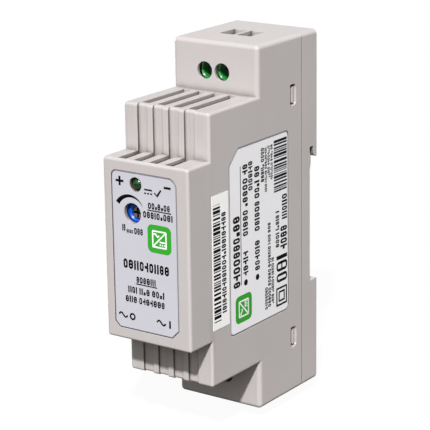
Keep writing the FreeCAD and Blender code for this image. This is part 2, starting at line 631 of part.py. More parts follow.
# ---- indicator and trimmer ---------------------------------------------------------------------
LED_R, LED_TIP, LED_BASE = 1.65, -52.3, -45.9


def led_lead_places():
    return [LED_Z - 1.0, LED_Z + 1.0]


def status_led():
    dome = Part.makeSphere(LED_R, Vector(LED_X, LED_TIP + LED_R, LED_Z))
    barrel = rod_y(LED_X, LED_TIP + LED_R, LED_BASE, LED_Z, LED_R)
    flange = rod_y(LED_X, LED_BASE - 0.8, LED_BASE, LED_Z, LED_R + 0.35)
    return join([dome, barrel, flange])


def led_leads():
    legs = []
    for z in led_lead_places():
        out = box(LED_X - 0.25, LED_X + 0.25, LED_BASE, -44.0, z - 0.25, z + 0.25)
        across = box(RISER_X0 - 0.8, LED_X + 0.25, -44.5, -44.0, z - 0.25, z + 0.25)
        legs.append(join([out, across]))
    return Part.makeCompound(legs)


TRIM_FRONT, TRIM_REAR, TRIM_HALF = -50.7, -45.9, 3.25
ROTOR_X, ROTOR_Z, ROTOR_R = -4.0, 10.3, 1.55
ROTOR_FRONT, ROTOR_REAR, ROTOR_DISH = -50.15, -48.8, 0.35


def trimmer_pin_places():
    return [(-48.9, ROTOR_Z - 2.3), (-46.8, ROTOR_Z), (-48.9, ROTOR_Z + 2.3)]


def trimmer_body():
    body = box(ROTOR_X - TRIM_HALF, ROTOR_X + TRIM_HALF, TRIM_FRONT, TRIM_REAR,
               ROTOR_Z - TRIM_HALF, ROTOR_Z + TRIM_HALF)
    body = soften(body, 0.4, lambda c, d: c.y < TRIM_FRONT + 0.1)
    bore = ROTOR_R + RUNNING_FIT
    dish = Part.makeCone(bore + ROTOR_DISH, bore, ROTOR_DISH, Vector(ROTOR_X, TRIM_FRONT, ROTOR_Z),
                         Vector(0, 1, 0))
    return cut(body, [dish, rod_y(ROTOR_X, TRIM_FRONT - 1, ROTOR_REAR + 0.05, ROTOR_Z, bore)])


def trimmer_rotor():
    disc = rod_y(ROTOR_X, ROTOR_FRONT, ROTOR_REAR, ROTOR_Z, ROTOR_R)
    rim = [edge for edge in disc.Edges if edge.Closed and edge.CenterOfMass.y < ROTOR_FRONT + 0.01]
    disc = disc.makeFillet(0.2, rim)
    return cut(disc, cross_slot(ROTOR_X, ROTOR_Z, ROTOR_FRONT, 2.5, 0.6, 0.8))


def trimmer_pins():
    return Part.makeCompound([rod_x(RISER_X0 - 0.8, ROTOR_X - TRIM_HALF, y, z, 0.3)
                              for y, z in trimmer_pin_places()])


# ---- transformer and choke ---------------------------------------------------------------------
def transformer_core():
    """Pair of E halves that meet in the middle of the winding."""
    half_w, half_h, half_t = CORE_WIDTH / 2, CORE_HEIGHT / 2, CORE_THICK / 2
    outer = box(CORE_X - half_w, CORE_X + half_w, CORE_Y - half_h, CORE_Y + half_h,
                CORE_Z - half_t, CORE_Z + half_t)
    windows = [
        box(CORE_X + CENTRE_LIMB / 2, CORE_X + half_w - CORE_LIMB, CORE_Y - half_h + CORE_LIMB,
            CORE_Y + half_h - CORE_LIMB, CORE_Z - 9, CORE_Z + 9),
        box(CORE_X - half_w + CORE_LIMB, CORE_X - CENTRE_LIMB / 2, CORE_Y - half_h + CORE_LIMB,
            CORE_Y + half_h - CORE_LIMB, CORE_Z - 9, CORE_Z + 9),
    ]
    return cut(outer, windows)


def core_window_span():
    return CORE_Y - CORE_HEIGHT / 2 + CORE_LIMB, CORE_Y + CORE_HEIGHT / 2 - CORE_LIMB


def transformer_bobbin():
    y0, y1 = core_window_span()
    reach = CORE_WIDTH / 2 - CORE_LIMB - 0.1
    inner = CENTRE_LIMB / 2 + 0.1
    inner_z = CORE_THICK / 2 + 0.1
    tube = box(CORE_X - inner - 0.6, CORE_X + inner + 0.6, y0 + 0.1, y1 - 0.1,
               CORE_Z - inner_z - 0.6, CORE_Z + inner_z + 0.6)
    flanges = [box(CORE_X - reach, CORE_X + reach, y, y + BOBBIN_FLANGE,
                   CORE_Z - BOBBIN_HALF_Z, CORE_Z + BOBBIN_HALF_Z)
               for y in (y0 + 0.1, y1 - 0.1 - BOBBIN_FLANGE)]
    rails = []
    for side in (-1, 1):
        z0, z1 = sorted((CORE_Z + side * (inner_z + 0.2), CORE_Z + side * BOBBIN_HALF_Z))
        rails.append(box(CORE_X - 6.4, CORE_X + 6.4, y1 - 0.6, BOARD_FRONT - 0.6, z0 + 0.2, z1))
    shape = join([tube] + flanges + rails)
    bore = box(CORE_X - inner, CORE_X + inner, y0 - 1, y1 + 1, CORE_Z - inner_z, CORE_Z + inner_z)
    return cut(shape, [bore] + [pin for pin in transformer_pins().Solids])


def transformer_pins():
    return Part.makeCompound([rod_y(x, BOARD_FRONT - 2.2, LEAD_END, z, LEAD_R)
                              for x, z in transformer_pin_places()])


def transformer_winding():
    y0, y1 = core_window_span()
    low, high = y0 + 0.2 + BOBBIN_FLANGE, y1 - 0.2 - BOBBIN_FLANGE
    reach_x, reach_z = CORE_WIDTH / 2 - CORE_LIMB - 0.25, BOBBIN_HALF_Z - 0.7
    coil = box(CORE_X - reach_x, CORE_X + reach_x, low, high, CORE_Z - reach_z, CORE_Z + reach_z)
    coil = soften(coil, 1.4, lambda c, d: abs(d.y) > 0.9)
    inner, inner_z = CENTRE_LIMB / 2 + 0.75, CORE_THICK / 2 + 0.75
    return coil.cut(box(CORE_X - inner, CORE_X + inner, low - 1, high + 1,
                        CORE_Z - inner_z, CORE_Z + inner_z))


def core_tape():
    """Tape wound round the outside of the core to hold its halves together."""
    half_w, half_h = CORE_WIDTH / 2, CORE_HEIGHT / 2
    thick = 0.12
    band = box(CORE_X - half_w - thick, CORE_X + half_w + thick, CORE_Y - half_h - thick,
               CORE_Y + half_h + thick, CORE_Z - 1.9, CORE_Z + 1.9)
    return band.cut(box(CORE_X - half_w, CORE_X + half_w, CORE_Y - half_h, CORE_Y + half_h,
                        CORE_Z - 5, CORE_Z + 5))


def choke_core():
    return Part.makeTorus(CHOKE_R, CHOKE_CORE_R, Vector(CHOKE_X, CHOKE_Y, CHOKE_Z), Vector(0, 1, 0))


def choke_windings():
    """Two windings of separate turns round the ring, one on each side."""
    turns = []
    for side in (0, 180):
        for step in range(7):
            angle = math.radians(side - 48 + 16 * step)
            radial = Vector(math.cos(angle), 0, math.sin(angle))
            tangent = Vector(-math.sin(angle), 0, math.cos(angle))
            centre = Vector(CHOKE_X, CHOKE_Y, CHOKE_Z) + radial * CHOKE_R
            turns.append(Part.makeTorus(CHOKE_CORE_R + CHOKE_WIRE_R + 0.05, CHOKE_WIRE_R,
                                        centre, tangent))
    return Part.makeCompound(turns)


def choke_base():
    base = box(CHOKE_X - 6.2, CHOKE_X + 6.2, BOARD_FRONT - 1.6, BOARD_FRONT, CHOKE_Z - 6.0,
               CHOKE_Z + 6.0)
    base = soften(base, 1.5, lambda c, d: abs(d.y) > 0.9)
    pins = [rod_y(x, BOARD_FRONT - 1.0, LEAD_END, z, LEAD_R) for x, z in choke_pin_places()]
    return join([base] + pins)


# ---- other board components --------------------------------------------------------------------
def capacitor_can(x, z, radius, height):
    """Aluminium can with the crimp ring near the board, axis along Y."""
    y1 = BOARD_FRONT - 0.5
    y0 = y1 - height
    can = rod_y(x, y0, y1, z, radius)
    ends = [edge for edge in can.Edges if edge.Closed]
    can = can.makeFillet(0.5, ends)
    ring = Part.makeTorus(radius + 0.15, 0.45, Vector(x, y1 - 2.0, z), Vector(0, 1, 0))
    return can.cut(ring)


def bulk_capacitor():
    return join([capacitor_can(4.0, -1.5, 6.2, 22.0)] + leads("bulk_capacitor", BOARD_FRONT - 1.0))


def output_capacitors():
    cans = []
    for i, x in enumerate((-5.4, 2.5)):
        pair = leads("output_capacitors", BOARD_FRONT - 1.0)[2 * i:2 * i + 2]
        cans.append(join([capacitor_can(x, 29.2, 3.85, 15.0)] + pair))
    return Part.makeCompound(cans)


def fuse():
    body = rod_y(-5.3, BOARD_FRONT - 8.2, BOARD_FRONT - 0.2, -27.0, 4.2)
    body = body.makeFillet(0.5, [e for e in body.Edges if e.Closed])
    return join([body] + leads("fuse", BOARD_FRONT - 1.0))


def coated_disc(node, x, z, radius, thick):
    """Disc component that stands on its leads, flat faces towards Z."""
    y = BOARD_FRONT - 1.2 - radius
    disc = rod_z(x, y, z - thick / 2, z + thick / 2, radius)
    disc = disc.makeFillet(thick * 0.35, [e for e in disc.Edges if e.Closed])
    return join([disc] + leads(node, y + radius * 0.45))


def surge_varistor():
    return coated_disc("surge_varistor", 4.2, -29.5, 4.4, 3.4)


def inrush_thermistor():
    return coated_disc("inrush_thermistor", 4.2, -24.9, 4.1, 3.0)


def y_capacitor():
    return coated_disc("y_capacitor", 6.4, 23.4, 3.4, 2.6)


def x_capacitor():
    body = box(-10.4, -4.4, BOARD_FRONT - 12.0, BOARD_FRONT - 0.1, -21.6, -8.4)
    body = soften(body, 0.5, lambda c, d: c.y < BOARD_FRONT - 11.9)
    return join([body] + leads("x_capacitor", BOARD_FRONT - 1.0))


def power_switch():
    """Fully insulated transistor package standing on three leads."""
    body = box(-9.6, -5.2, BOARD_FRONT - 18.5, BOARD_FRONT - 3.0, -7.0, 3.0)
    body = soften(body, 0.5, lambda c, d: c.x > -5.3)
    hole = rod_x(-10, -5, BOARD_FRONT - 16.0, -2.0, 1.6)
    return join([body.cut(hole)] + leads("power_switch", BOARD_FRONT - 3.5))


def heat_spreader():
    """Bent aluminium sheet clamped to the transistor's flat side."""
    x1 = -9.6
    sheet = box(x1 - 0.8, x1, BOARD_FRONT - 24.0, BOARD_FRONT - 1.0, -8.0, 3.8)
    fold = box(x1 - 0.8, -4.2, BOARD_FRONT - 24.0, BOARD_FRONT - 23.2, -8.0, 3.8)
    shape = join([sheet, fold])
    return shape.cut(rod_x(-11, -9, BOARD_FRONT - 16.0, -2.0, 1.3))


def spreader_screw():
    shank = rod_x(-9.9, -4.9, BOARD_FRONT - 16.0, -2.0, 1.25)
    head = rod_x(-5.0, -3.4, BOARD_FRONT - 16.0, -2.0, 2.4)
    head = head.makeFillet(0.5, [e for e in head.Edges if e.Closed and e.CenterOfMass.x > -3.5])
    slot = box(-4.1, -3.0, BOARD_FRONT - 18.0, BOARD_FRONT - 14.0, -2.35, -1.65)
    return join([shank, head.translated(Vector(-0.2, 0, 0))]).cut(slot)


def output_inductor():
    """Ferrite drum; its coil sits between the two flanges."""
    top, bottom = BOARD_FRONT - 9.5, BOARD_FRONT - 0.3
    drum = join([
        rod_y(INDUCTOR_X, top, bottom, INDUCTOR_Z, INDUCTOR_POST_R),
        rod_y(INDUCTOR_X, top, top + 0.9, INDUCTOR_Z, INDUCTOR_R),
        rod_y(INDUCTOR_X, bottom - 0.9, bottom, INDUCTOR_Z, INDUCTOR_R),
    ])
    return join([drum] + leads("output_inductor", bottom - 0.5))


def inductor_winding():
    low, high = BOARD_FRONT - 8.55, BOARD_FRONT - 1.25
    ring = rod_y(INDUCTOR_X, low, high, INDUCTOR_Z, INDUCTOR_R - 0.1)
    return ring.cut(rod_y(INDUCTOR_X, low - 1, high + 1, INDUCTOR_Z, INDUCTOR_POST_R + 0.05))


def output_diode():
    y = BOARD_FRONT - 2.2
    body = rod_x(-4.5, 0.7, y, 23.4, 1.35)
    body = body.makeFillet(0.2, [e for e in body.Edges if e.Closed])
    wire = rod_x(-5.4, 1.6, y, 23.4, LEAD_R)
    corners = [Part.makeSphere(LEAD_R, Vector(x, y, z)) for x, z in LEADS["output_diode"]]
    return join([body, wire] + corners + leads("output_diode", y))


# ---- output ------------------------------------------------------------------------------------
def assembly():
    nodes = {
        "front_housing": front_housing(),
        "rear_cover": rear_cover(),
        "rail_clip": rail_clip(),
        "clip_spring": clip_spring(),
        "front_label": front_label(),
        "side_label": side_label(),
        "serial_sticker": serial_sticker(),
        "main_board": main_board(),
        "insulation_sheet": insulation_sheet(),
        "riser_board": riser_board(),
        "riser_header": riser_header(),
        "optocoupler": optocoupler(),
        "control_ic": control_ic(),
        "bridge_rectifier": bridge_rectifier(),
        "status_led": status_led(),
        "led_leads": led_leads(),
        "trimmer_body": trimmer_body(),
        "trimmer_rotor": trimmer_rotor(),
        "trimmer_pins": trimmer_pins(),
        "transformer_core": transformer_core(),
        "transformer_bobbin": transformer_bobbin(),
        "transformer_winding": transformer_winding(),
        "transformer_pins": transformer_pins(),
        "core_tape": core_tape(),
        "choke_core": choke_core(),
        "choke_windings": choke_windings(),
        "choke_base": choke_base(),
        "bulk_capacitor": bulk_capacitor(),
        "output_capacitors": output_capacitors(),
        "fuse": fuse(),
        "surge_varistor": surge_varistor(),
        "inrush_thermistor": inrush_thermistor(),
        "x_capacitor": x_capacitor(),
        "y_capacitor": y_capacitor(),
        "power_switch": power_switch(),
        "heat_spreader": heat_spreader(),
        "spreader_screw": spreader_screw(),
        "output_inductor": output_inductor(),
        "inductor_winding": inductor_winding(),
        "output_diode": output_diode(),
    }
    sides = ("left", "right")
    for name, place in (("output", lambda shape: shape), ("input", flip)):
        nodes[name + "_terminal_block"] = place(terminal_block())
        nodes[name + "_contacts"] = place(Part.makeCompound(contacts()))
        for side, x in zip(sides, POLE_X):
            nodes[name + "_screw_" + side] = place(terminal_screw(x))
            nodes[name + "_cage_" + side] = place(clamp_cage(x))
    return nodes


def main():
    os.makedirs("parts", exist_ok=True)
    for name, shape in assembly().items():
        shape.exportStep(os.path.join("parts", name + ".step"))
        print(name, len(shape.Solids), "solids", "valid" if shape.isValid() else "INVALID",
              round(shape.Volume, 1))


main()
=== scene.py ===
import json
import math
import random

import bpy
from mathutils import Matrix, Vector


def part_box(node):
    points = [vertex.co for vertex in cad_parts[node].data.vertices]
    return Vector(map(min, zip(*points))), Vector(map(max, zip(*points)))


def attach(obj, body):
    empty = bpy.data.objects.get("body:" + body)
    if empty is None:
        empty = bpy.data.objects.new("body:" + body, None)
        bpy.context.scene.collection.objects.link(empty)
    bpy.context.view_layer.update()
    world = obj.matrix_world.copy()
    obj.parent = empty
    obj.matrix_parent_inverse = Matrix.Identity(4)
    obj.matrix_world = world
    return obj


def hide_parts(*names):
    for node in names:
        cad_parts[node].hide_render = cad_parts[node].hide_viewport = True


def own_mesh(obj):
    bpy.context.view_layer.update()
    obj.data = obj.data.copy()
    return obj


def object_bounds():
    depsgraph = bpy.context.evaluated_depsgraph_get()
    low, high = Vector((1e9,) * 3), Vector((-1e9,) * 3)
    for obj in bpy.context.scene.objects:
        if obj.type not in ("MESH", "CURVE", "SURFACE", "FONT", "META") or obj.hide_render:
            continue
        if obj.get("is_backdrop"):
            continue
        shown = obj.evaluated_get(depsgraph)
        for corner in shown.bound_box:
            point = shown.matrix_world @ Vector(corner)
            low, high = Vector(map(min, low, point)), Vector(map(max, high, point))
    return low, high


# Looks for the rail power supply: finishes for every CAD node, generic print on the two labels and the
# sticker, the clip's coil spring, and a plain pale studio. Lengths are millimetres unless a comment says
# otherwise, and MM turns them into Blender's metres.
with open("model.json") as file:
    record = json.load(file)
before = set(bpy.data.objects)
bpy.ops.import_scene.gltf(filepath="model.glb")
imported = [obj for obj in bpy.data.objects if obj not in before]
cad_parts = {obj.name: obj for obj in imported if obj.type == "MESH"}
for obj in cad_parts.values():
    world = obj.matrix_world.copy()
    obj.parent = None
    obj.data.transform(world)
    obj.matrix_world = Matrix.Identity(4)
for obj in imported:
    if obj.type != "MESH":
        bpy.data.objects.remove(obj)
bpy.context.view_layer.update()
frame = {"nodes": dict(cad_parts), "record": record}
MM = 0.001
NODES = frame["nodes"]


def box_mm(node):
    """Lowest and highest corner of a CAD node, in millimetres."""
    low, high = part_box(node)
    return low / MM, high / MM


def tone(red, green, blue):
    """Linear colour from screen values of 0 to 255."""
    def linear(value):
        share = value / 255
        return share / 12.92 if share <= 0.04045 else ((share + 0.055) / 1.055) ** 2.4
    return (linear(red), linear(green), linear(blue), 1.0)


def shade(colour, factor):
    return (colour[0] * factor, colour[1] * factor, colour[2] * factor, 1.0)


# ---- building node trees -----------------------------------------------------------------------------
BANDS_PER_UNIT = 10 / math.pi      # of the wave texture at scale 1


class NodeTree:
    """A node tree under construction."""

    def __init__(self, tree):
        self.tree = tree

    def add(self, kind, inputs=None, **settings):
        node = self.tree.nodes.new(kind)
        for key, value in settings.items():
            setattr(node, key, value)
        for key, value in (inputs or {}).items():
            self.put(node.inputs[key], value)
        return node

    def put(self, socket, value):
        if isinstance(value, bpy.types.NodeSocket):
            self.tree.links.new(value, socket)
        else:
            socket.default_value = value

    def calc(self, operation, first, second=0.0):
        return self.add("ShaderNodeMath", {0: first, 1: second}, operation=operation).outputs[0]

    def between(self, value, low, high, to_low=0.0, to_high=1.0):
        inputs = {"Value": value, "From Min": low, "From Max": high, "To Min": to_low, "To Max": to_high}
        return self.add("ShaderNodeMapRange", inputs).outputs[0]

    def mix_shaders(self, share, first, second):
        inputs = {0: share, 1: first.outputs[0], 2: second.outputs[0]}
        return self.add("ShaderNodeMixShader", inputs)

    def seen_by_camera(self):
        return self.add("ShaderNodeLightPath").outputs["Is Camera Ray"]


class Look(NodeTree):
    """A material under construction. Its patterns are placed in millimetres from the part's origin."""

    def __init__(self, name):
        self.material = bpy.data.materials.new(name)
        self.material.use_nodes = True
        super().__init__(self.material.node_tree)
        self.surface = self.tree.nodes["Principled BSDF"]
        self.normal = None
        coordinates = self.add("ShaderNodeTexCoord").outputs["Object"]
        scaled = self.add("ShaderNodeVectorMath", {0: coordinates, "Scale": 1 / MM}, operation="SCALE")
        self.place = scaled.outputs[0]

    def stretched(self, stretch):
        if stretch is None:
            return self.place
        inputs = {0: self.place, 1: stretch}
        return self.add("ShaderNodeVectorMath", inputs, operation="MULTIPLY").outputs[0]

    def noise(self, scale, detail=2.0, stretch=None):
        """Soft noise from 0 to 1; scale is in cycles per millimetre."""
        inputs = {"Vector": self.stretched(stretch), "Scale": scale, "Detail": detail}
        return self.add("ShaderNodeTexNoise", inputs).outputs[0]

    def cells(self, scale):
        """Distance to the nearest of many scattered points."""
        inputs = {"Vector": self.place, "Scale": scale}
        return self.add("ShaderNodeTexVoronoi", inputs).outputs["Distance"]

    def waves(self, scale, direction):
        """Even bands across one axis; scale is in bands per millimetre."""
        inputs = {"Vector": self.place, "Scale": scale / BANDS_PER_UNIT, "Distortion": 0.0}
        node = self.add("ShaderNodeTexWave", inputs, wave_type="BANDS", bands_direction=direction,
                        wave_profile="SIN")
        return node.outputs["Fac"]

    def axis(self, name):
        return self.add("ShaderNodeSeparateXYZ", {0: self.place}).outputs[name]

    def facing(self):
        return self.add("ShaderNodeNewGeometry").outputs["Normal"]

    def blend(self, share, first, second):
        """Colour that goes from first to second as share goes from 0 to 1."""
        node = self.add("ShaderNodeMix", {0: share, 6: first, 7: second}, data_type="RGBA")
        return node.outputs[2]

    def edges(self, radius):
        """1 along convex and concave edges, 0 on plain faces."""
        soft = self.add("ShaderNodeBevel", {"Radius": radius * MM}, samples=4).outputs[0]
        inputs = {0: soft, 1: self.facing()}
        dot = self.add("ShaderNodeVectorMath", inputs, operation="DOT_PRODUCT").outputs["Value"]
        return self.between(dot, 0.99, 0.80)

    def open_air(self, distance):
        """1 on open faces, towards 0 deep in corners and slots."""
        return self.add("ShaderNodeAmbientOcclusion", {"Distance": distance * MM}, samples=6).outputs["AO"]

    def soft_edges(self, radius):
        """Make sharp edges shade as if they had a small radius."""
        self.normal = self.add("ShaderNodeBevel", {"Radius": radius * MM}, samples=4).outputs[0]

    def relief(self, height, depth):
        """Fine surface relief, depth in millimetres."""
        inputs = {"Height": height, "Distance": depth * MM, "Strength": 1.0}
        if self.normal is not None:
            inputs["Normal"] = self.normal
        self.normal = self.add("ShaderNodeBump", inputs).outputs[0]

    def done(self, colour, roughness, **others):
        self.put(self.surface.inputs["Base Color"], colour)
        self.put(self.surface.inputs["Roughness"], roughness)
        for key, value in others.items():
            self.put(self.surface.inputs[key.replace("_", " ")], value)
        if self.normal is not None:
            self.put(self.surface.inputs["Normal"], self.normal)
        return self.material


# ---- kinds of finish ---------------------------------------------------------------------------------
SHOULDER_STEP = 8.7      # the middle step of the case stands this far behind the front face
CASE_COLOUR = tone(188, 183, 182)
# Painted shade: the dark brown laid into the case's corners, slots and grooves.
PAINTED_SHADE_COLOUR = tone(66, 55, 48)


def drag_marks(look):
    """Upright streaks, and where they show: strong on the middle step's face, faint elsewhere."""
    streaks = look.noise(2.2, 2, (1.0, 0.02, 0.02))
    step_face = box_mm("front_housing")[0].y + SHOULDER_STEP
    away = look.calc("ABSOLUTE", look.calc("SUBTRACT", look.axis("Y"), step_face))
    return streaks, look.between(away, 1.2, 0.9, 0.25, 1.0)


def slot_wall_shade(look, air):
    """Painted shade on the sideways walls of slots and grooves, stronger where less air reaches them."""
    across = look.add("ShaderNodeSeparateXYZ", {0: look.facing()}).outputs["X"]
    sideways = look.between(look.calc("ABSOLUTE", across), 0.5, 0.8)
    side_face = box_mm("front_housing")[1].x
    inside = look.between(look.calc("ABSOLUTE", look.axis("X")), side_face - 0.5, side_face - 0.9)
    wall = look.calc("MULTIPLY", sideways, inside)
    return look.calc("MULTIPLY", wall, look.between(air, 0.9, 0.45, 0.3, 0.95))


def case_plastic(name):
    """Light housing plastic: spark-eroded skin, faint flow marks, painted highlight and rubbed wear on
    edges, painted shade in slots.
    """
    look, colour = Look(name), CASE_COLOUR
    drift = look.blend(look.between(look.noise(0.035), 0.3, 0.7), shade(colour, 0.975), shade(colour, 1.02))
    speck = look.between(look.noise(1.7, 3), 0.35, 0.65, 0.0, 0.35)
    body = look.blend(speck, drift, shade(colour, 0.955))
    # Lighter along edges: painted highlight, and rubbed wear.
    body = look.blend(look.calc("MULTIPLY", look.edges(0.8), 0.5), body, shade(colour, 1.18))
    streaks, shown = drag_marks(look)
    dark = look.calc("MULTIPLY", look.between(streaks, 0.5, 0.3), look.calc("MULTIPLY", shown, 0.5))
    body = look.blend(dark, body, shade(colour, 0.82))
    # Painted shade: darker brown in corners and slots, and on slot walls, where less air reaches.
    air = look.open_air(3.2)
    painted_shade = look.calc("MAXIMUM", look.between(air, 0.30, 0.78, 0.95, 0.0), slot_wall_shade(look, air))
    body = look.blend(painted_shade, body, PAINTED_SHADE_COLOUR)
    look.soft_edges(0.22)
    look.relief(look.calc("MULTIPLY", streaks, shown), 0.04)
    look.relief(look.noise(0.11, 1), 0.05)
    look.relief(look.noise(3.4, 3), 0.010)
    roughness = look.between(look.noise(0.9, 3), 0.3, 0.7, 0.42, 0.52)
    return look.done(body, roughness, Specular_IOR_Level=0.45)


def moulded(name, colour, rough, grain, grain_scale, spread, painted_hollow_shade=None, **others):
    """General moulded plastic: mottled tone, fine grain, uneven gloss, and painted shade in hollows."""
    look = Look(name)
    mottle = look.between(look.noise(0.45, 3), 0.3, 0.7)
    body = look.blend(mottle, shade(colour, 1 - spread), shade(colour, 1 + spread))
    # Painted shade: deep hollows take the given dark tone.
    if painted_hollow_shade is not None:
        body = look.blend(look.between(look.open_air(3.0), 0.15, 0.65, 1.0, 0.0), body, painted_hollow_shade)
    look.relief(look.noise(grain_scale, 3), grain)
    look.relief(look.noise(0.35, 1), 0.03)
    roughness = look.between(look.noise(1.1, 2), 0.3, 0.7, rough - 0.06, rough + 0.08)
    return look.done(body, roughness, **others)


def film(name, colour, rough, sheen):
    """Printed polyester film: very even, with a shallow orange-peel and fine dust in the lacquer."""
    look = Look(name)
    even = look.between(look.noise(0.12, 2), 0.3, 0.7)
    body = look.blend(even, shade(colour, 0.985), shade(colour, 1.01))
    dust = look.between(look.cells(1.3), 0.035, 0.02, 0.0, 0.12)
    body = look.blend(dust, body, shade(colour, 0.7))
    look.relief(look.noise(2.6, 2), 0.0008)
    roughness = look.between(look.noise(0.6, 2), 0.3, 0.7, rough - 0.02, rough + 0.03)
    return look.done(body, roughness, Coat_Weight=sheen, Coat_Roughness=0.18)


def paper(name, colour):
    """Matt label paper with short crossing fibres."""
    look = Look(name)
    along = look.noise(5.0, 2, (1.0, 0.25, 1.0))
    across = look.noise(5.0, 2, (1.0, 1.0, 0.25))
    fibres = look.calc("MAXIMUM", along, across)
    body = look.blend(look.between(fibres, 0.45, 0.75), colour, shade(colour, 0.955))
    look.relief(fibres, 0.012)
    return look.done(body, look.between(fibres, 0.4, 0.7, 0.55, 0.68))


def ink(name, colour, rough=0.4):
    """Printing ink that is a little thin in places."""
    look = Look(name)
    cover = look.between(look.noise(6.0, 2), 0.35, 0.75)
    body = look.blend(cover, colour, shade(colour, 1.35))
    look.relief(look.noise(8.0, 2), 0.003)
    return look.done(body, look.between(look.noise(2.0), 0.3, 0.7, rough - 0.05, rough + 0.1),
                     Specular_IOR_Level=0.2)


def metal(name, colour, rough, along, grain=0.006, stain=0.25, painted_hollow_shade=None):
    """Metal with marks drawn out along one direction, a cloudy plated tone and painted shade in hollows."""
    look = Look(name)
    cloud = look.between(look.noise(0.8, 4), 0.3, 0.7)
    body = look.blend(cloud, shade(colour, 1 - stain), colour)
    # Painted shade: deep hollows take the given dark tone.
    if painted_hollow_shade is not None:
        body = look.blend(look.between(look.open_air(1.2), 0.35, 0.75, 1.0, 0.0), body, painted_hollow_shade)
    marks = look.noise(7.0, 3, along)
    look.relief(marks, grain)
    roughness = look.between(marks, 0.3, 0.7, rough - 0.07, rough + 0.12)
    return look.done(body, roughness, Metallic=1.0)


def laminate(name):
    """Circuit board: solder mask over a woven base, with raised tracks that run upright and level."""
    look = Look(name)
    mask, copper = tone(16, 92, 44), tone(38, 128, 62)
    fine = look.calc("MULTIPLY", look.waves(2.2, "X"), look.waves(2.2, "Z"))
    upright, level = look.noise(0.55, 0, (1.0, 0.2, 0.16)), look.noise(0.55, 0, (0.16, 0.2, 1.0))
    runs = look.calc("MAXIMUM", upright, level)
    track = look.between(runs, 0.60, 0.62)
    body = look.blend(track, look.blend(look.between(fine, 0, 1, 0, 0.25), mask, shade(mask, 1.35)), copper)
    look.relief(fine, 0.01)
    look.relief(track, 0.035)
    return look.done(body, look.between(look.noise(0.7), 0.3, 0.7, 0.22, 0.34), Coat_Weight=0.4)


def ferrite(name):
    """Dull grey sintered core with open pores."""
    look = Look(name)
    colour = tone(62, 62, 66)
    pores = look.between(look.cells(2.4), 0.12, 0.03)
    body = look.blend(look.between(look.noise(3.0, 4), 0.3, 0.7), shade(colour, 0.75), shade(colour, 1.2))
    body = look.blend(pores, body, shade(colour, 0.35))
    look.relief(look.noise(5.0, 4), 0.03)
    look.relief(look.calc("SUBTRACT", 1.0, pores), 0.03)
    return look.done(body, look.between(look.noise(1.5, 2), 0.3, 0.7, 0.5, 0.68))


def winding_tape(name):
    """Yellow polyester tape with the wire turns showing through as soft ribs along the bobbin."""
    look = Look(name)
    colour = tone(226, 178, 44)
    ribs = look.waves(2.4, "Y")
    lap = look.between(look.noise(0.5, 1, (1, 0.1, 1)), 0.49, 0.51)
    body = look.blend(look.between(ribs, 0, 1, 0, 0.5), colour, shade(colour, 0.74))
    body = look.blend(look.calc("MULTIPLY", lap, 0.3), body, shade(colour, 1.2))
    look.relief(ribs, 0.05)
    look.relief(lap, 0.03)
    return look.done(body, look.between(look.noise(2.0), 0.3, 0.7, 0.2, 0.32), Coat_Weight=0.3)


def enamelled_wire(name):
    """Copper wire turns under clear enamel."""
    look = Look(name)
    colour = tone(188, 92, 42)
    turns = look.waves(3.2, "Y")
    body = look.blend(look.between(look.noise(1.6, 2), 0.3, 0.7), shade(colour, 0.7), shade(colour, 1.15))
    look.relief(turns, 0.04)
    roughness = look.between(look.noise(2.0), 0.3, 0.7, 0.18, 0.3)
    return look.done(body, roughness, Metallic=0.8, Coat_Weight=0.8)


def shrink_sleeve(name):
    """Dark capacitor sleeve with pale stripes along it and shrink wrinkles."""
    look = Look(name)
    colour = tone(34, 34, 48)
    stripe = look.between(look.noise(0.22, 0, (1.0, 0.02, 1.0)), 0.60, 0.61)
    body = look.blend(look.between(look.noise(0.8, 3), 0.3, 0.7), shade(colour, 0.8), shade(colour, 1.3))
    body = look.blend(stripe, body, tone(188, 188, 176))
    look.relief(look.noise(1.3, 2, (1.0, 0.25, 1.0)), 0.03)
    return look.done(body, look.between(look.noise(0.9), 0.3, 0.7, 0.2, 0.34), Coat_Weight=0.3)


def lens(name):
    """Deep green tinted indicator lens with painted glints as light specks inside."""
    look = Look(name)
    painted_glints = look.between(look.cells(2.6), 0.28, 0.10)
    deep = look.blend(look.between(look.noise(1.2, 3), 0.35, 0.65), tone(6, 38, 18), tone(18, 80, 36))
    # Painted glints: light green specks over the deep tone.
    body = look.blend(look.calc("MULTIPLY", painted_glints, 0.7), deep, tone(96, 176, 104))
    look.relief(look.noise(2.2, 2), 0.04)
    return look.done(body, look.between(look.noise(3.0), 0.3, 0.7, 0.10, 0.22), Coat_Weight=0.6,
                     Transmission_Weight=0.12, IOR=1.52)
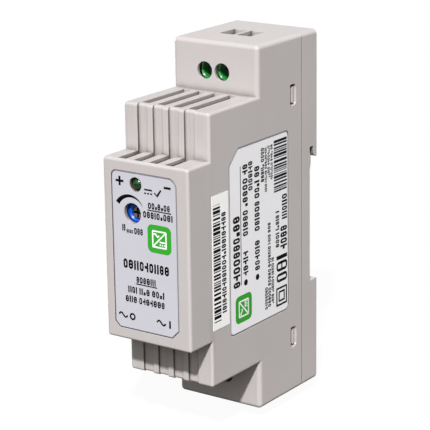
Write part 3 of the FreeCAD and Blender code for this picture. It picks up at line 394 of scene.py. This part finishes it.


# ---- finishes, one for each material slot of the record ----------------------------------------------
# What follows the colour: for moulded, roughness, depth and scale of the grain, spread of tone and painted
# shade in hollows; for metal, roughness, stretch of the marks, their depth, stain and painted shade in
# hollows; for film, roughness and sheen.
FINISHES = {
    "case_plastic": case_plastic,
    "clip_plastic": lambda name: moulded(name, tone(178, 171, 169), 0.42, 0.012, 3.4, 0.03),
    "spring_steel": lambda name: metal(name, tone(190, 188, 184), 0.26, (0.4, 0.4, 3.0)),
    "panel_film": lambda name: film(name, tone(194, 194, 202), 0.36, 0.15),
    "label_film": lambda name: film(name, tone(242, 242, 245), 0.30, 0.15),
    "sticker_paper": lambda name: paper(name, tone(250, 250, 250)),
    "board_laminate": laminate,
    "insulation_film": lambda name: film(name, tone(226, 214, 170), 0.3, 0.3),
    # The last colour is painted shade deep in the screw wells.
    "terminal_plastic": lambda name: moulded(name, tone(34, 132, 56), 0.2, 0.008, 3.0, 0.16, tone(5, 14, 8),
                                             Coat_Weight=0.5),
    "plated_steel": lambda name: metal(name, tone(196, 196, 200), 0.3, (1.0, 0.2, 1.0)),
    "tinned_copper": lambda name: metal(name, tone(214, 212, 206), 0.24, (1.0, 0.15, 1.0)),
    "header_plastic": lambda name: moulded(name, tone(34, 34, 36), 0.45, 0.015, 4.0, 0.2),
    "package_black": lambda name: moulded(name, tone(40, 40, 43), 0.5, 0.02, 5.0, 0.22),
    "led_lens": lens,
    # The last colour is painted shade in the trimmer's recess.
    "trimmer_blue": lambda name: moulded(name, tone(10, 86, 204), 0.4, 0.012, 3.0, 0.12, tone(6, 24, 70)),
    # The last colour is painted shade in the rotor's slots.
    "rotor_metal": lambda name: metal(name, tone(196, 184, 176), 0.34, (1.0, 1.0, 0.15), 0.012, 0.3,
                                      tone(22, 18, 18)),
    "ferrite": ferrite,
    "bobbin_plastic": lambda name: moulded(name, tone(48, 46, 46), 0.42, 0.015, 3.0, 0.18),
    "winding_tape": winding_tape,
    "enamelled_wire": enamelled_wire,
    "capacitor_sleeve": shrink_sleeve,
    "film_box": lambda name: moulded(name, tone(224, 186, 62), 0.3, 0.012, 3.0, 0.08, Coat_Weight=0.2),
    "disc_blue": lambda name: moulded(name, tone(38, 84, 168), 0.28, 0.03, 1.6, 0.15, Coat_Weight=0.5),
    "disc_green": lambda name: moulded(name, tone(44, 108, 62), 0.34, 0.03, 1.6, 0.15, Coat_Weight=0.4),
    "spreader_aluminium": lambda name: metal(name, tone(206, 207, 210), 0.32, (1.0, 0.1, 3.0), 0.008, 0.12),
}


def dress_nodes():
    finishes = {}
    for part in frame["record"]["subparts"]:
        slot = part["material_slot"]
        if slot not in finishes:
            finishes[slot] = FINISHES[slot](slot)
        mesh = NODES[part["node"]].data
        mesh.materials.clear()
        mesh.materials.append(finishes[slot])
    return finishes


def inks():
    return {
        "black": ink("ink_black", tone(5, 5, 6)),
        "grey": ink("ink_grey", tone(104, 106, 114)),
        "green": ink("ink_green", tone(52, 150, 46), 0.34),
        "white": ink("ink_white", tone(228, 230, 228), 0.34),
    }


# ---- printed plates ----------------------------------------------------------------------------------
INK_LIFT = 0.02      # height of a printed plate above its face
INK_SINK = 0.01      # how far its underside is let into the label
BORDER_INSET, BORDER_WIDTH = 0.02, 0.16
ARC_STEPS = 6        # straight pieces in a round corner of a border
RULE = 0.28          # thickness of a line between rows


def rectangle(u0, v0, u1, v1):
    return [(u0, v0), (u1, v0), (u1, v1), (u0, v1)]


def rounded(u0, v0, u1, v1, radius, steps):
    """Rectangle with round corners, counter-clockwise."""
    points = []
    for cu, cv, start in ((u1 - radius, v0 + radius, -90), (u1 - radius, v1 - radius, 0),
                          (u0 + radius, v1 - radius, 90), (u0 + radius, v0 + radius, 180)):
        for step in range(steps + 1):
            angle = math.radians(start + 90 * step / steps)
            points.append((cu + radius * math.cos(angle), cv + radius * math.sin(angle)))
    return points


def disc(u, v, radius):
    steps = 32
    return [(u + radius * math.cos(math.tau * i / steps), v + radius * math.sin(math.tau * i / steps))
            for i in range(steps)]


class Print:
    """Marks of one ink on one flat face, each a closed plate that stands a hair proud of the face."""

    def __init__(self, name, place):
        self.name, self.place = name, place
        self.points, self.faces = [], []

    def layer(self, outline, lift):
        start = len(self.points)
        self.points += [self.place(u, v, lift) for u, v in outline]
        return list(range(start, start + len(outline)))

    def walls(self, low, high):
        count = len(low)
        for i in range(count):
            j = (i + 1) % count
            self.faces.append((low[i], low[j], high[j], high[i]))

    def plate(self, outline):
        low, high = self.layer(outline, -INK_SINK), self.layer(outline, INK_LIFT)
        self.faces.append(tuple(high))
        self.faces.append(tuple(reversed(low)))
        self.walls(low, high)

    def frame(self, outer, inner):
        """A closed band between two outlines that have the same number of corners."""
        low_out, high_out = self.layer(outer, -INK_SINK), self.layer(outer, INK_LIFT)
        low_in, high_in = self.layer(inner, -INK_SINK), self.layer(inner, INK_LIFT)
        count = len(outer)
        for i in range(count):
            j = (i + 1) % count
            self.faces.append((high_out[i], high_out[j], high_in[j], high_in[i]))
            self.faces.append((low_out[j], low_out[i], low_in[i], low_in[j]))
        self.walls(low_out, high_out)
        self.walls(list(reversed(low_in)), list(reversed(high_in)))

    def ribbon(self, path, widths):
        """A stroke along a path, as wide at each point as widths says."""
        left, right = [], []
        for i, (u, v) in enumerate(path):
            before, after = path[max(i - 1, 0)], path[min(i + 1, len(path) - 1)]
            du, dv = after[0] - before[0], after[1] - before[1]
            length = math.hypot(du, dv)
            nu, nv = -dv / length * widths[i] / 2, du / length * widths[i] / 2
            left.append((u + nu, v + nv))
            right.append((u - nu, v - nv))
        self.plate(right + list(reversed(left)))

    def build(self, body, slot, material):
        mesh = bpy.data.meshes.new(self.name)
        mesh.from_pydata([point * MM for point in self.points], [], self.faces)
        mesh.materials.append(material)
        mesh.validate()
        piece = bpy.data.objects.new(self.name, mesh)
        bpy.context.scene.collection.objects.link(piece)
        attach(piece, body)


# ---- rows of plain marks and signs -------------------------------------------------------------------
# A kind of mark is drawn as often as it is listed. The widths are for marks one unit tall.
MARK_KINDS = ("ring", "ring", "stack", "stack", "bar", "bar", "hook", "ring", "stack", "low")
MARK_WIDTHS = {"bar": 0.42, "ring": 1.0, "stack": 1.0, "hook": 0.9, "low": 0.7}
MARK_GAP, WORD_GAP = 0.17, 0.5
MARK_HALF = 0.55     # half a mark's height, as a share of its row's height


def mark_cells(length, draw, slim, words):
    """Widths, gaps and kinds of the marks in one row, for a row of marks one unit tall."""
    cells, total, run = [], 0.0, 0
    while total < length:
        run += 1
        kind = draw.choice(MARK_KINDS)
        width = slim * MARK_WIDTHS[kind] * draw.uniform(0.9, 1.1)
        ends = words and run > 3 and draw.random() < 0.3
        gap = WORD_GAP if ends else MARK_GAP
        run = 0 if ends else run
        cells.append((width, gap, kind))
        total += width + gap
    return cells


def hook(sheet, u, v, right, half, line):
    """A bar with a short arm to its left at mid-height."""
    step, arm = min(line, (right - u) * 0.4), line / 2
    sheet.plate([(u, v - arm), (right - step, v - arm), (right - step, v - half), (right, v - half),
                 (right, v + half), (right - step, v + half), (right - step, v + arm), (u, v + arm)])


def window(sheet, u, v, right, half, line, barred):
    """A rounded frame, with a bar across its middle if barred is true."""
    inset = min(line, (right - u) * 0.36)
    low, high = v - half, v + half
    sheet.frame(rounded(u, low, right, high, inset * 1.4, 3),
                rounded(u + inset, low + line * 0.8, right - inset, high - line * 0.8, inset * 0.4, 3))
    if barred:
        sheet.plate(rectangle(u + inset * 0.8, v - line * 0.35, right - inset * 0.8, v + line * 0.35))


def marks(sheet, u0, u1, v, height, seed, words, slim=0.6, stroke=0.33):
    """A row of plain marks where a line of writing would stand, with word gaps if words is true."""
    cells = mark_cells((u1 - u0) / height, random.Random(seed), slim, words)
    scale = (u1 - u0) / sum(width + gap for width, gap, kind in cells)
    half, line = MARK_HALF * height, stroke * height
    u = u0
    for width, gap, kind in cells:
        right = u + width * scale
        if kind == "bar":
            sheet.plate(rectangle(u, v - half, right, v + half))
        elif kind == "low":
            sheet.plate(rounded(u, v - half, right, v - half + height * 0.55, 0.1 * height, 2))
        elif kind == "hook":
            hook(sheet, u, v, right, half, line)
        else:
            window(sheet, u, v, right, half, line, kind == "stack")
        u = right + gap * scale


def bars(sheet, u0, u1, v0, v1, module, seed):
    """Generic upright bars of one to three modules, at seeded places."""
    draw = random.Random(seed)
    u = u0
    while u < u1:
        width = module * draw.choice((1, 1, 2, 2, 3))
        sheet.plate(rectangle(u, v0, min(u + width, u1), v1))
        u += width + module * draw.choice((1, 1, 2))


def rule(sheet, u0, u1, v, thick=RULE):
    sheet.plate(rectangle(u0, v, u1, v + thick))


def plus(sheet, u, v, size, stroke):
    """Twelve-cornered cross: three corners in each quarter."""
    h, t = size / 2, stroke / 2
    corners = []
    for a, b in ((1, 0), (0, 1), (-1, 0), (0, -1)):
        corners += [(u + a * h + b * t, v + b * h - a * t), (u + a * h - b * t, v + b * h + a * t),
                    (u + a * t - b * t, v + b * t + a * t)]
    sheet.plate(corners)


def minus(sheet, u, v, size, stroke):
    sheet.plate(rectangle(u - size / 2, v - stroke / 2, u + size / 2, v + stroke / 2))


def alternating(sheet, u, v, size, stroke):
    """One period of a wave: the sign for alternating current."""
    steps = 20
    path = [(u + size * (i / steps - 0.5), v + size * 0.2 * math.sin(math.tau * i / steps))
            for i in range(steps + 1)]
    sheet.ribbon(path, [stroke] * len(path))


def direct(sheet, u, v, size, stroke):
    """A line over three dashes: the sign for direct current."""
    step, dash = size * 0.2, size / 4.4
    rule(sheet, u - size / 2, u + size / 2, v + step * 0.5, stroke)
    for i in (-1, 0, 1):
        centre = u + i * size * 0.386
        rule(sheet, centre - dash / 2, centre + dash / 2, v - step - stroke / 2, stroke)


def tick(sheet, u, v, size, stroke):
    path = [(u - size / 2, v), (u - size * 0.12, v - size * 0.4), (u + size / 2, v + size * 0.45)]
    sheet.ribbon(path, [stroke, stroke * 1.3, stroke])


def ring(sheet, u, v, size, stroke):
    sheet.frame(disc(u, v, size / 2), disc(u, v, size / 2 - stroke))


def square_frame(sheet, u, v, half, stroke):
    inner = half - stroke
    sheet.frame(rectangle(u - half, v - half, u + half, v + half),
                rectangle(u - inner, v - inner, u + inner, v + inner))


def double_square(sheet, u, v, size, stroke):
    for half in (size / 2, size * 0.29):
        square_frame(sheet, u, v, half, stroke)


def converter_badge(ground, mark, u, v, size):
    """Rounded square with the general sign for a converter: two halves, alternating and direct."""
    half = size / 2
    ground.plate(rounded(u - half, v - half, u + half, v + half, size * 0.2, 6))
    stroke = size * 0.055
    outer = half * 0.62
    inner = outer - stroke
    mark.frame(rounded(u - outer, v - outer, u + outer, v + outer, size * 0.05, 2),
               rounded(u - inner, v - inner, u + inner, v + inner, size * 0.02, 2))
    mark.ribbon([(u - inner, v - inner), (u + inner, v + inner)], [stroke, stroke])
    alternating(mark, u - outer * 0.42, v + outer * 0.45, size * 0.24, stroke)
    direct(mark, u + outer * 0.42, v - outer * 0.45, size * 0.24, stroke)


def adjustment_wedge(sheet, u, v):
    """Arc round the trimmer that thins in the direction of turning."""
    radius, shrink, thick_start, thick_end = 4.2, 0.45, 1.2, 0.07
    start, sweep, steps = 153, 118, 36
    path, widths = [], []
    for i in range(steps + 1):
        share = i / steps
        angle = math.radians(start - sweep * share)
        thick = thick_start + (thick_end - thick_start) * share
        reach = radius - shrink * share + thick / 2
        path.append((u + reach * math.cos(angle), v + reach * math.sin(angle)))
        widths.append(thick)
    sheet.ribbon(path, widths)


def label_border(sheet, half_u, half_v, corners):
    """Thin line inside a label's edge. Corners are (size, 'cut' or 'arc'), from low left, anticlockwise."""
    places = [(-half_u, -half_v), (half_u, -half_v), (half_u, half_v), (-half_u, half_v)]
    loops = []
    for depth in (BORDER_INSET, BORDER_INSET + BORDER_WIDTH):
        points = []
        for i, (size, style) in enumerate(corners):
            here = Vector(places[i])
            back = (Vector(places[i - 1]) - here).normalized()
            ahead = (Vector(places[(i + 1) % len(places)]) - here).normalized()
            corner = here + (back + ahead) * depth
            if style == "cut":
                reach = size - depth * (2 - math.sqrt(2))
                points += [corner + back * reach, corner + ahead * reach]
                continue
            radius = size - depth
            centre = corner + (back + ahead) * radius
            for step in range(ARC_STEPS + 1):
                turn = math.radians(90 / ARC_STEPS * step)
                points.append(centre - ahead * radius * math.cos(turn) - back * radius * math.sin(turn))
        loops.append([tuple(point) for point in points])
    sheet.frame(*loops)


# ---- the three printed faces -------------------------------------------------------------------------
# Places are measured from the middle of the face, u along the writing and v towards its top. A row of marks
# is (start, end, height of its middle, size, seed, whether it has word gaps). A sign is given by the place
# of its middle, then its size and the thickness of its lines.
FRONT_CORNERS = ((1.35, "cut"), (2.0, "cut"), (2.4, "arc"), (1.5, "arc"))
FRONT_ROWS = (
    (1.2, 7.7, 12.2, 1.45, 11, False),
    (-0.3, 8.5, 9.9, 1.5, 12, False),
    (-6.7, -5.6, 5.7, 1.5, 13, False),
    (-5.4, -3.4, 5.0, 0.85, 18, False),
    (-3.1, -0.4, 5.3, 1.45, 19, False),
    (-6.6, 7.2, -3.2, 2.15, 14, False),
    (-2.8, 3.1, -6.75, 1.5, 15, False),
    (-5.4, 5.6, -9.55, 1.5, 16, True),
    (-6.2, 6.1, -12.0, 1.5, 17, True),
)
MAINS_V, MAINS_SIZE, MAINS_STROKE = -16.4, 2.6, 0.44

RATING_CORNERS = ((1.3, "arc"), (1.3, "arc"), (3.7, "cut"), (1.3, "arc"))
RATING_ROWS = (
    (-9.3, -2.9, 6.15, 1.9, 41, False),
    (0.8, 19.0, 6.15, 2.0, 42, True),
    (-9.3, -1.4, 1.05, 1.9, 39, False),
    (0.8, 17.4, 1.05, 2.0, 40, True),
    (11.7, 19.2, 3.85, 1.65, 27, False),
    (-20.7, -14.8, -2.85, 1.1, 31, False),
    (-20.4, 1.7, -4.25, 1.15, 32, True),
    (-19.9, -7.7, -5.7, 1.05, 33, True),
    (-5.8, 3.8, -7.95, 1.45, 34, True),
    (12.6, 21.3, -1.45, 1.3, 35, True),
    (9.8, 21.3, -2.9, 0.9, 36, True),
    (13.1, 21.3, -4.15, 0.95, 37, True),
    (12.3, 21.3, -5.45, 0.9, 38, True),
    (-6.9, -0.5, -10.8, 2.7, 44, False),
    (0.9, 7.6, -11.2, 2.1, 45, False),
)
BULLETS_U, BULLETS_V, BULLET_R = -11.1, (6.15, 1.05), 0.78


def middle_mm(node):
    low, high = box_mm(node)
    return (low + high) / 2


def on_front_label():
    """Writing on the front label: u to the right, v up."""
    face, middle = box_mm("front_label")[0].y, middle_mm("front_label")
    return lambda u, v, lift: Vector((middle.x + u, face - lift, middle.z + v))


def on_right_side(node):
    """Writing on the right side: u up, v towards the front."""
    face, middle = box_mm(node)[1].x, middle_mm(node)
    return lambda u, v, lift: Vector((face + lift, middle.y - v, middle.z + u))


def sheets(prefix, place):
    """One sheet for each ink of a label; white is printed on top of green."""
    return {
        "black": Print(prefix + "_print_black", place),
        "green": Print(prefix + "_print_green", place),
        "white": Print(prefix + "_print_white", lambda u, v, lift: place(u, v, lift + INK_LIFT)),
        "grey": Print(prefix + "_print_border", place),
    }


def front_panel(colours):
    """Signs round the indicator and the trimmer, rows of marks, the badge and the mains signs."""
    label = sheets("front", on_front_label())
    black = label["black"]
    low, high = box_mm("front_label")
    label_border(label["grey"], (high.x - low.x) / 2, (high.z - low.z) / 2, FRONT_CORNERS)
    rotor = middle_mm("trimmer_rotor") - middle_mm("front_label")
    adjustment_wedge(black, rotor.x, rotor.z + 0.2)

    plus(black, -7.1, 17.1, 2.3, 0.58)
    minus(black, 6.9, 17.2, 2.0, 0.56)
    direct(black, 1.3, 15.55, 2.3, 0.4)
    tick(black, 4.1, 15.55, 1.9, 0.44)
    for row in FRONT_ROWS:
        marks(black, *row)
    rule(black, 1.0, 7.9, 10.95)
    rule(black, -3.0, 3.3, -8.0)
    converter_badge(label["green"], label["white"], 4.3, 4.3, 6.9)

    for wave_u in (-7.1, 4.3):
        alternating(black, wave_u, MAINS_V, MAINS_SIZE, MAINS_STROKE)
    ring(black, -4.3, MAINS_V, 1.8, MAINS_STROKE)
    black.plate(rectangle(6.6, MAINS_V - 0.95, 7.1, MAINS_V + 0.95))
    for ink_name, sheet in label.items():
        sheet.build("case", "panel_film", colours[ink_name])


def rating_panel(colours):
    """Title with a line under it, two listed rows, small print, bars and signs."""
    label = sheets("rating", on_right_side("side_label"))
    black = label["black"]
    low, high = box_mm("side_label")
    label_border(label["grey"], (high.z - low.z) / 2, (high.y - low.y) / 2, RATING_CORNERS)
    marks(black, -11.5, 6.9, 10.0, 2.65, 21, words=False, slim=0.62)
    rule(black, -11.3, 18.6, 8.0, 0.24)
    for bullet_v in BULLETS_V:
        black.plate(disc(BULLETS_U, bullet_v, BULLET_R))
    for row in RATING_ROWS:
        marks(black, *row)
    bars(black, 8.6, 22.2, -12.3, -6.5, 0.22, 41)
    marks(black, -15.2, -7.6, -9.9, 4.4, 43, words=False, slim=0.66, stroke=0.16)
    double_square(black, -19.0, -9.75, 4.9, 0.5)
    converter_badge(label["green"], label["white"], -17.4, 7.2, 7.0)
    for ink_name, sheet in label.items():
        sheet.build("case", "label_film", colours[ink_name])


def sticker_panel(colours):
    """Generic bars over a row of marks on the paper sticker."""
    black = Print("sticker_print_black", on_right_side("serial_sticker"))
    bars(black, -14.8, 14.4, 0.1, 3.0, 0.26, 51)
    marks(black, -13.2, 12.2, -1.3, 1.65, 52, words=False)
    black.build("case", "sticker_paper", colours["black"])


# ---- coil spring of the rail clip --------------------------------------------------------------------
WIRE_R = 0.25
COIL_TURNS = 7.0
COIL_STEPS, WIRE_STEPS = 28, 12      # points round one turn, and round the wire


def coil_rise(share, closed):
    """Height share after a share of the length: a closed turn at each end, an even pitch between."""
    end = 1 / COIL_TURNS
    if share < end:
        return share / end * closed
    if share > 1 - end:
        return 1 - (1 - share) / end * closed
    return closed + (share - end) / (1 - 2 * end) * (1 - 2 * closed)


def coil_mesh(low, high):
    """A tube along the helix that fills the box of the CAD spring."""
    centre = (low + high) / 2
    radius = (high.x - low.x) / 2 - WIRE_R
    span = high.z - low.z - 2 * WIRE_R
    closed = 2 * WIRE_R / span
    count = int(COIL_TURNS * COIL_STEPS)

    def point(i):
        share = min(max(i / count, 0), 1)
        angle = math.tau * COIL_TURNS * share
        return Vector((centre.x + radius * math.cos(angle), centre.y + radius * math.sin(angle),
                       low.z + WIRE_R + span * coil_rise(share, closed)))

    points, faces = [], []
    for i in range(count + 1):
        here = point(i)
        ahead = (point(i + 1) - point(i - 1)).normalized()
        outward = Vector((here.x - centre.x, here.y - centre.y, 0)).normalized()
        upward = outward.cross(ahead).normalized()
        for k in range(WIRE_STEPS):
            turn = math.tau * k / WIRE_STEPS
            points.append((here + (outward * math.cos(turn) + upward * math.sin(turn)) * WIRE_R) * MM)
    for i in range(count):
        for k in range(WIRE_STEPS):
            a, b = i * WIRE_STEPS + k, i * WIRE_STEPS + (k + 1) % WIRE_STEPS
            faces.append((a, a + WIRE_STEPS, b + WIRE_STEPS, b))
    faces.append(tuple(range(WIRE_STEPS)))
    faces.append(tuple(reversed(range(count * WIRE_STEPS, (count + 1) * WIRE_STEPS))))
    mesh = bpy.data.meshes.new("clip_coil")
    mesh.from_pydata(points, [], faces)
    for face in mesh.polygons:
        face.use_smooth = len(face.vertices) == 4
    return mesh


def coil_spring(material):
    """Compression spring between the case's post and the clip."""
    low, high = box_mm("clip_spring")
    mesh = coil_mesh(low, high)
    mesh.materials.append(material)
    piece = bpy.data.objects.new("clip_coil", mesh)
    bpy.context.scene.collection.objects.link(piece)
    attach(piece, "clip")
    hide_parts("clip_spring")
    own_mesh(piece)


# ---- studio ------------------------------------------------------------------------------------------
WHITE = (1.0, 1.0, 1.0, 1.0)
# The camera stands right of the front and a little above, DISTANCE from the point that it looks at.
AZIMUTH, ELEVATION, ROLL = math.radians(35.355), math.radians(16.202), math.radians(-0.8445)
AIM = Vector((-0.54, -23.44, 3.63)) * MM
DISTANCE = 455 * MM
FOCAL_LENGTH, SENSOR_WIDTH = 153.17, 36.0
NEAREST, FARTHEST = 0.01, 20.0      # metres, the camera's range
# Distant lights: degrees round to the right of the front, degrees up, strength, degrees across, colour.
SUNS = {
    "key": (28.5, 43.6, 4.4, 3.0, (1.0, 0.99, 0.985)),
    "back": (205.0, 10.0, 0.4, 50.0, (0.97, 0.985, 1.0)),
    "left side": (262.0, 2.0, 1.8, 8.0, WHITE[:3]),
    "rear side": (181.0, 2.0, 1.8, 8.0, WHITE[:3]),
}
# Room light: factors along one axis of the direction, each from its first to its last value.
FILL_SHAPE = (
    ("Z", 0.08, 0.42, 0.06, 2.10),      # dim at the horizon, brightest 25 degrees up
    ("Z", 0.42, 1.00, 1.0, 0.10),       # little overhead
    ("X", -0.60, 0.60, 0.25, 0.88),     # stronger from the right
    ("Y", -0.20, 0.50, 1.0, 0.35),      # weaker from behind
)
FLOOR_REACH = 3.0                           # metres from the middle to each edge
FLOOR_BOUNCE = (0.085, 0.075, 0.068, 1.0)   # the floor's colour as the object feels it
FLOOR_SHADOW = 0.05                         # share of real shading in the floor that the camera sees


def camera():
    back = Vector((math.sin(AZIMUTH) * math.cos(ELEVATION), -math.cos(AZIMUTH) * math.cos(ELEVATION),
                   math.sin(ELEVATION)))
    level = Vector((math.cos(AZIMUTH), math.sin(AZIMUTH), 0))
    upright = back.cross(level)
    right = level * math.cos(ROLL) + upright * math.sin(ROLL)
    up = upright * math.cos(ROLL) - level * math.sin(ROLL)
    data = bpy.data.cameras.new("camera")
    data.lens = FOCAL_LENGTH
    data.sensor_width = SENSOR_WIDTH
    data.clip_start, data.clip_end = NEAREST, FARTHEST
    view = bpy.data.objects.new("camera", data)
    turn = Matrix((right, up, back)).transposed()
    view.matrix_world = Matrix.Translation(AIM + back * DISTANCE) @ turn.to_4x4()
    bpy.context.scene.collection.objects.link(view)
    bpy.context.scene.camera = view


def sun(name, azimuth, elevation, strength, softness, colour):
    a, e = math.radians(azimuth), math.radians(elevation)
    source = Vector((math.sin(a) * math.cos(e), -math.cos(a) * math.cos(e), math.sin(e)))
    data = bpy.data.lights.new(name, "SUN")
    data.energy = strength
    data.angle = math.radians(softness)
    data.color = colour
    light = bpy.data.objects.new(name, data)
    light.rotation_mode = "QUATERNION"
    light.rotation_quaternion = source.to_track_quat("Z", "Y")
    bpy.context.scene.collection.objects.link(light)


def backdrop():
    """Pale room that the camera sees as white and the object feels as a soft fill."""
    world = bpy.data.worlds.new("studio")
    world.use_nodes = True
    bpy.context.scene.world = world
    world.node_tree.nodes.clear()
    room = NodeTree(world.node_tree)
    direction = room.add("ShaderNodeTexCoord").outputs["Generated"]
    along = room.add("ShaderNodeSeparateXYZ", {0: direction}).outputs
    strength = 1.0
    for axis, start, end, at_start, at_end in FILL_SHAPE:
        strength = room.calc("MULTIPLY", strength, room.between(along[axis], start, end, at_start, at_end))
    fill = room.add("ShaderNodeBackground", {"Color": WHITE, "Strength": strength})
    seen = room.add("ShaderNodeBackground", {"Color": WHITE})
    mix = room.mix_shaders(room.seen_by_camera(), fill, seen)
    room.add("ShaderNodeOutputWorld", {"Surface": mix.outputs[0]})


def floor():
    """Plain pale floor under the lowest point, with only a light shadow on it."""
    low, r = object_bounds()[0].z, FLOOR_REACH
    mesh = bpy.data.meshes.new("floor")
    mesh.from_pydata([(-r, -r, low), (r, -r, low), (r, r, low), (-r, r, low)], [], [(0, 1, 2, 3)])
    look = Look("floor_paint")
    grain = look.between(look.noise(0.05, 3), 0.3, 0.7)
    colour = look.blend(grain, shade(WHITE, 0.78), shade(WHITE, 0.82))
    pale = look.add("ShaderNodeBsdfDiffuse", {"Color": colour})
    glow = look.add("ShaderNodeEmission", {"Color": WHITE, "Strength": 1.0})
    dim = look.add("ShaderNodeBsdfDiffuse", {"Color": FLOOR_BOUNCE})
    seen = look.mix_shaders(FLOOR_SHADOW, glow, pale)
    both = look.mix_shaders(look.seen_by_camera(), dim, seen)
    look.put(look.tree.nodes["Material Output"].inputs["Surface"], both.outputs[0])
    mesh.materials.append(look.material)
    ground = bpy.data.objects.new("floor", mesh)
    bpy.context.scene.collection.objects.link(ground)
    ground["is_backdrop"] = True


def studio():
    camera()
    for name, settings in SUNS.items():
        sun(name, *settings)
    backdrop()
    floor()
    bpy.context.scene.view_settings.view_transform = "Standard"


def main():
    finishes = dress_nodes()
    colours = inks()
    front_panel(colours)
    rating_panel(colours)
    sticker_panel(colours)
    coil_spring(finishes["spring_steel"])
    studio()


main()
